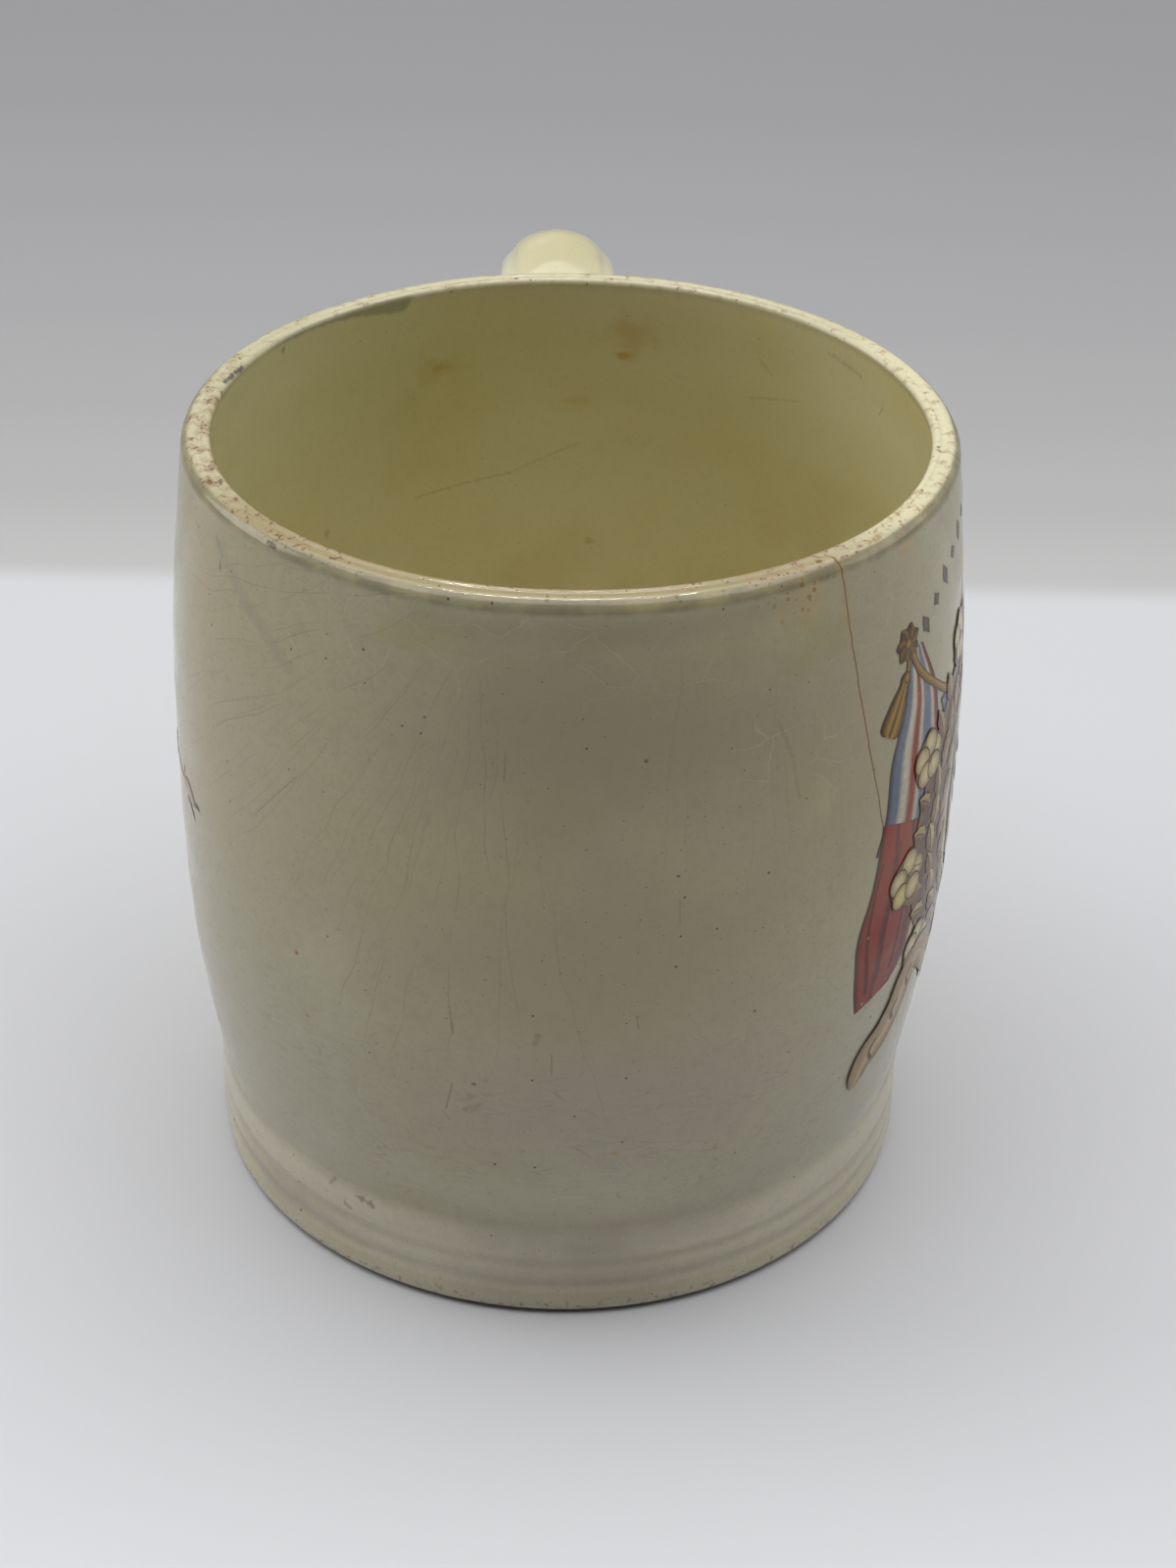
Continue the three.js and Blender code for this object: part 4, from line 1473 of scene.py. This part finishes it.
def press(name, transfer, azimuth, material):
    """Wraps a transfer round the cup's wall, as a piece of its own."""
    points = np.array(transfer["points"], float)
    turned = math.radians(azimuth) + points[:, 0] / print_radius
    up = points[:, 1]
    radius = wall_radius(up)
    out, raised = uneven(turned, radius, up)
    radius = radius + out + print_lift + layer_lift * points[:, 2]
    spots = np.stack([radius * np.sin(turned), -radius * np.cos(turned), up + raised], 1) * MM
    mesh = bpy.data.meshes.new(name)
    mesh.from_pydata([tuple(p) for p in spots], [], transfer["faces"])
    mesh.polygons.foreach_set("use_smooth", [True] * len(mesh.polygons))
    tones = mesh.color_attributes.new("ink", "FLOAT_COLOR", "POINT")
    tones.data.foreach_set("color", [level for tone in transfer["tones"] for level in paint(*tone)])
    mesh.update()
    piece = stand_on_axis(name, mesh, material)
    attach(piece, "root")


print_ink, tree, shader = new_material("transfer_print")
ink = add(tree, "Attribute", attribute_name="ink").outputs["Color"]
solid_place = add(tree, "TexCoord").outputs["Object"]
stipple = cloud(tree, solid_place, 1500, 2, 0.35, 0.65)
washed = cloud(tree, solid_place, 150, 4, 0.35, 0.75)
colour = overlay(tree, ink, paint(*ink_stipple), stipple, 0.18)
colour = overlay(tree, colour, paint(*ink_washed), washed, 0.12)
missing = solid_dots(tree, solid_place, 900.0, 0.1, 0.25, 0.05)
colour = overlay(tree, colour, shaded_wall_cream, missing, 0.6)
relief = use(tree, glaze_group, {"Wave scale": 95.0, "Wave height": 0.05})
roughness = between(tree, washed, 0.0, 1.0, 0.16, 0.28)
glazed(tree, shader, colour, roughness, relief)
feed(tree, shader, {"Specular IOR Level": 0.16})

# Striped ribbons that hang down both sides and turn to their red backs
ribbons = blank_transfer(0)
stripes = (
    ink_deep_blue, ink_blue, ink_blue, ink_white, ink_red, ink_red, ink_white, ink_blue, ink_blue,
    ink_white, ink_red, ink_deep_red,
)
backs = (
    ink_deep_red, ink_red, ink_red, ink_deep_red, ink_red, ink_red, ink_red, ink_deep_red, ink_red,
)
striped_left = [(-24.6, 67.4), (-25.6, 62), (-27.6, 57), (-28.0, 52), (-29.3, 48.2)]
striped_right = [(-22.6, 67.6), (-19.6, 62), (-18.6, 56), (-19.0, 50), (-20.0, 45)]
back_left = [(-28.4, 51.2), (-29.2, 45), (-30.9, 39.6), (-30.6, 34), (-29.8, 30.2)]
back_right = [(-22.6, 49), (-21.4, 44), (-21.4, 38), (-22.8, 33), (-24.6, 31.2)]
folds = (
    ((-28.2, 47), (-29.6, 40), (-28.8, 32)), ((-25.4, 48), (-26.6, 41), (-27.4, 33)),
    ((-23.6, 46), (-23.9, 39), (-25.0, 33)),
)
dark_edge = (ink_outline, ink_outline)
edge_width = 0.22
for side in (1, -1):
    for left, right, shades, layer in (
        (striped_left, striped_right, stripes, 1), (back_left, back_right, backs, 3),
    ):
        outer = mirrored(side, [(x - edge_width, y) for x, y in left])
        inner = mirrored(side, [(x + edge_width, y) for x, y in right])
        between_edges(ribbons, outer, inner, dark_edge, layer - 1)
        between_edges(ribbons, mirrored(side, left), mirrored(side, right), shades, layer, 0.12)
    for fold in folds:
        crease = curve_through(*mirrored(side, fold))
        taper = np.linspace(0.2, 0.7, len(crease))
        stroke(ribbons, crease, taper, (ink_deep_red, ink_deep_red), 4)
press("print_ribbons", ribbons, print_azimuth, print_ink)

# Bunting on a gold cord between two gold rosettes, each with a fluted drop on a short cord
bunting = blank_transfer(5)
rosette_out = 25.2
rosette_up = 68.6
cord_path = curve_through(
    (-rosette_out, rosette_up), (-21.6, 63.6), (-12, 57.6), (0, 56), (12, 57.6), (21.6, 63.6),
    (rosette_out, rosette_up), count=66,
)
flag_inks = ((ink_blue, ink_deep_blue), (ink_white, ink_pale_ribbon), (ink_red, ink_deep_red))
flag_count = 7
flag_apart = 5.2
flag_half_width = 2.1
flag_length = 5.6
flag_steps = 8
for number in range(flag_count):
    middle = (number - (flag_count - 1) / 2) * flag_apart
    top = float(np.interp(middle, cord_path[:, 0], cord_path[:, 1]))
    light, dark = flag_inks[number % 3]
    for grow, tones, level in (
        (0.2, [ink_outline] * 4, 0), (0.0, [light, light, dark, light], 1),
    ):
        rows = []
        for down in np.linspace(0, 1, flag_steps):
            half = (flag_half_width + grow) * (1 - down) + 0.05
            fall = top + grow - down * (flag_length + 2 * grow)
            rows.append([(middle + half * a, fall) for a in (-1, -0.4, 0.4, 1)])
        lay(bunting, rows, [tones] * flag_steps, level)
stroke(bunting, cord_path, 0.9, (ink_deep_gold, ink_pale_gold, ink_gold, ink_deep_gold), 2)
drop_shares = (0, 0.12, 0.2, 0.5, 0.8, 0.95, 1)
drop_swells = (0.3, 0.5, 0.36, 0.75, 1, 0.95, 0.6)
fluting = (
    ink_deep_gold, ink_gold, ink_pale_gold, ink_deep_gold, ink_pale_gold, ink_gold, ink_deep_gold,
)
for side in (-1, 1):
    rosette = (side * rosette_out, rosette_up)
    for turn in range(7):
        angle = turn * 2 * math.pi / 7 + 0.3
        petal_root = (rosette[0] + 0.4 * math.cos(angle), rosette[1] + 0.4 * math.sin(angle))
        leaf(bunting, petal_root, angle, 1.6, 1.1, ink_gold, ink_deep_gold, 3)
    disc(bunting, rosette, 0.6, ink_pale_gold, ink_deep_gold, 6)
    hang = curve_through(rosette, (side * 25.0, 66.8), (side * 25.4, 65.2))
    stroke(bunting, hang, 0.6, (ink_deep_gold, ink_pale_gold, ink_deep_gold), 3)
    drop_line = curve_through(
        (side * 25.3, 65.6), (side * 26.7, 63.2), (side * 28.3, 60.4), count=28,
    )
    swell = np.interp(np.linspace(0, 1, len(drop_line)), drop_shares, drop_swells)
    stroke(bunting, drop_line, swell * 3.2 + 0.3, (ink_deep_gold,) * 3, 3)
    stroke(bunting, drop_line, swell * 3.0, fluting, 4)
    disc(bunting, (side * 25.4, 65.3), 0.6, ink_pale_gold, ink_deep_gold, 5)
press("print_bunting", bunting, print_azimuth, print_ink)

# Wreath of scalloped leaves and pale blossoms, over its own brown shade, round a gold oval
wreath = blank_transfer(8)
draw = random.Random(11)
wreath_up = 44.6
wreath_wide = 18.6
wreath_tall = 17.4
stem_steps = 44
leaf_rows = 17
leaf_row_apart = 9.6
petal_count = 5
star_rays = 12


def on_wreath(side, degrees, wide=wreath_wide, tall=wreath_tall):
    turned = math.radians(degrees)
    return (side * wide * math.cos(turned), wreath_up + tall * math.sin(turned))


for side in (-1, 1):
    stem = [on_wreath(side, degrees) for degrees in np.linspace(-84, 76, stem_steps)]
    shade_widths = 2.0 + 6.4 * np.sin(np.linspace(0.12, 0.92, stem_steps) * np.pi)
    brown_shade = (ink_brown, ink_deep_brown, ink_brown, ink_deep_brown, ink_brown)
    stroke(wreath, stem, shade_widths, brown_shade, 5)
    for number in range(leaf_rows):
        degrees = -82 + number * leaf_row_apart
        turned = math.radians(degrees)
        for out, splay in ((2.6, 0.9), (-2.6, -0.8), (0.0, 0.1)):
            root = on_wreath(side, degrees, wreath_wide + out * 0.8, wreath_tall + out * 0.8)
            light = shade_between(ink_cream, ink_tan, draw.uniform(0.3, 1.0))
            dark = shade_between(ink_brown, ink_deep_brown, draw.uniform(0.0, 0.8))
            angle = turned + math.pi / 2 - splay + draw.uniform(-0.3, 0.3)
            if side < 0:
                angle = math.pi - angle
            long = draw.uniform(2.8, 4.0)
            level = 6 + 1.3 * (number % 3) + 0.4 * out / 2.6
            leaf(wreath, root, angle, long, draw.uniform(1.6, 2.2), light, dark, level, 0.14)
    for degrees, size in ((62, 2.5), (29, 2.9), (-5, 3.0), (-37, 2.9), (-70, 2.4)):
        heart = on_wreath(side, degrees, wreath_wide + 5.2, wreath_tall + 3.2)
        disc(wreath, heart, size * 0.95, ink_deep_brown, ink_brown, 9)
        for turn in range(petal_count):
            angle = turn * 2 * math.pi / petal_count + draw.uniform(0, 0.5)
            tint = shade_between(ink_cream, ink_white, draw.uniform(0.0, 0.55))
            shaded = shade_between(tint, ink_brown, 0.6)
            reach = size * draw.uniform(0.5, 0.62)
            petal = (heart[0] + reach * math.cos(angle), heart[1] + reach * math.sin(angle))
            disc(wreath, petal, size * 0.46 + 0.14, ink_brown, ink_deep_brown, 9.6 + turn * 1.1)
            disc(wreath, petal, size * 0.46, tint, shaded, 10.2 + turn * 1.1, 0.94)
        disc(wreath, heart, 0.4, ink_gold, ink_deep_brown, 15)
oval = [on_wreath(1, degrees, 11.4, 12.6) for degrees in np.linspace(0, 360, 73)]
stroke(wreath, oval, 1.2, (ink_outline, ink_pale_gold, ink_gold, ink_outline), 4)
for turn in range(star_rays):
    angle = turn * 2 * math.pi / star_rays
    inks = ((ink_red, ink_deep_red), (ink_blue, ink_deep_blue))[turn % 2]
    root = (1.2 * math.cos(angle), wreath_up + 1.2 * math.sin(angle))
    leaf(wreath, root, angle, 6.0, 2.3, *inks, 5)
disc(wreath, (0, wreath_up), 1.8, ink_pale_gold, ink_gold, 9)
press("print_wreath", wreath, print_azimuth, print_ink)

# Scroll under the wreath, with a knot in the middle and curling ends
scroll = blank_transfer(14)
scroll_inks = (ink_brown, ink_ribbon, ink_pale_ribbon, ink_ribbon, ink_ribbon, ink_deep_ribbon)
tail_shares = (0, 0.15, 0.7, 0.86, 0.95, 1)
tail_widths = (1.4, 3.8, 5.0, 4.2, 3.0, 0.6)
for side in (-1, 1):
    tail = curve_through(*mirrored(side, [
        (-1, 25.2), (-8, 22.8), (-13, 27.2), (-17.4, 30.6), (-20.2, 29.0), (-21.6, 26.2),
        (-23.4, 24.2), (-26.6, 22.2), (-27.8, 19.0),
    ]), count=70)
    share = np.linspace(0, 1, len(tail))
    wide = np.interp(share, tail_shares, tail_widths)
    inks = scroll_inks if side > 0 else scroll_inks[::-1]
    stroke(scroll, tail, wide, inks, 11)
    loop = curve_through(*mirrored(side, [
        (-0.5, 25.6), (-5, 28.6), (-8.4, 26.8), (-5.4, 24.2), (-0.5, 25.2),
    ]))
    stroke(scroll, loop, 1.8, scroll_inks, 12)
    for out, up in ((-19.6, 28.6), (-22.0, 25.8), (-25.4, 22.8)):
        bends = [(out + 0.6, up + 1.3), (out - 0.3, up), (out + 0.3, up - 1.2)]
        fold = curve_through(*mirrored(side, bends))
        taper = np.linspace(0.15, 0.6, len(fold))
        stroke(scroll, fold, taper, (ink_deep_brown, ink_deep_brown), 13)
disc(scroll, (0, 25.5), 1.6, ink_pale_ribbon, ink_deep_ribbon, 14)
press("print_scroll", scroll, print_azimuth, print_ink)

# Arc of small lozenges over the design
lozenges = blank_transfer(0)
arc_up = 34.8
arc_radius = 40.5
arc_half_angle = 32.4
lozenge_count = 17
lozenge_half_width = 0.75
for number in range(lozenge_count):
    angle = math.radians(90 + arc_half_angle * (2 * number / (lozenge_count - 1) - 1))
    radial = np.array([math.cos(angle), math.sin(angle)])
    spot = np.array([0, arc_up]) + radial * arc_radius
    beside = np.array([-radial[1], radial[0]])
    tall = 0.85 if number % 2 else 1.4
    rows = []
    for v in (-1, -0.5, 0, 0.5, 1):
        middle = spot + beside * lozenge_half_width * v
        rows.append([tuple(middle + radial * tall * u * (1 - abs(v))) for u in (-1, 0, 1)])
    lay(lozenges, rows, [[ink_grey] * 3] * len(rows), 1)
press("print_lozenges", lozenges, print_azimuth, print_ink)


# Transfer print on the left side
# A small spray in the same inks: two crossed sprigs tied with a ribbon under a rosette, and
# a twig out of each. Only the leaves at the end of one twig show from the front.
spray_azimuth = -106
rosette_petals = 10
spray_pink = (172, 132, 110)
twig_pink = (176, 138, 118)
knot_inks = (ink_outline, ink_blue, ink_white, ink_outline)
spray = blank_transfer(0)
draw = random.Random(5)
for side in (-1, 1):
    stem = curve_through(*mirrored(side, [(-5, 33), (2, 36), (8.5, 40), (11.0, 45)]))
    stroke(spray, stem, 0.4, (ink_deep_brown, ink_brown), 1)
    for share in np.linspace(0.22, 1, 9):
        root = stem[int(share * (len(stem) - 1))]
        for splay in (-0.7, 0.0, 0.6):
            angle = 0.5 + 0.7 * share + splay
            if side < 0:
                angle = math.pi - angle
            light = shade_between(spray_pink, ink_tan, draw.uniform(0, 0.5))
            long = draw.uniform(3.6, 4.8)
            leaf(spray, root, angle, long, draw.uniform(1.0, 1.5), light, ink_brown, 2)
end_leaves = (
    (20.8, 46.4, -0.12, 4.2, 1.3, twig_pink),
    (24.4, 45.5, 0.2, 2.2, 0.5, ink_grey),
    (22.2, 45.2, -0.5, 2.9, 0.5, ink_deep_brown),
    (20.8, 46.6, 1.2, 1.6, 0.3, ink_tan),
)
for side in (-1, 1):
    twig = curve_through(*mirrored(side, [(10.6, 44.6), (15.4, 47.0), (20.9, 46.3)]))
    stroke(spray, twig, 0.3, (ink_brown, ink_tan), 1)
    for share in (0.1, 0.25, 0.4):
        root = twig[int(share * (len(twig) - 1))]
        for splay in (-0.6, 0.6):
            angle = math.pi - 0.3 + splay if side < 0 else 0.3 + splay
            leaf(spray, root, angle, 2.1, 0.8, ink_tan, ink_brown, 2)
    for out, up, angle, long, wide, tint in end_leaves:
        tip = (out + long * math.cos(angle), up + long * math.sin(angle))
        bowed = ((out + tip[0]) / 2, (up + tip[1]) / 2 + 0.1 * long)
        blade = curve_through(*mirrored(side, [(out, up), bowed, tip]))
        taper = wide * np.sin(np.linspace(0.2, 2.9, len(blade)))
        stroke(spray, blade, taper, (shade_between(tint, ink_brown, 0.4), tint, tint), 2)
for turn in range(rosette_petals):
    angle = turn * 2 * math.pi / rosette_petals
    petal_root = (math.cos(angle) * 0.8, 49 + math.sin(angle) * 0.8)
    leaf(spray, petal_root, angle, 3.2, 1.7, ink_red, ink_deep_red, 3)
disc(spray, (0, 49), 1.2, ink_pale_gold, ink_gold, 7)
for side in (-1, 1):
    knot_loop = curve_through(*mirrored(side, [
        (-0.3, 34), (-3.4, 36), (-5.6, 34.4), (-3.2, 32.4), (-0.3, 33.6),
    ]))
    stroke(spray, knot_loop, 1.2, knot_inks, 6)
    tail = curve_through(*mirrored(side, [(-0.3, 33.4), (-2.6, 31), (-5.6, 30.4), (-7.6, 28.4)]))
    wide = np.interp(np.linspace(0, 1, len(tail)), (0, 0.5, 1), (0.8, 1.6, 0.3))
    stroke(spray, tail, wide, knot_inks, 6)
disc(spray, (0, 33.8), 0.9, ink_white, ink_blue, 8)
press("print_spray", spray, spray_azimuth, print_ink)
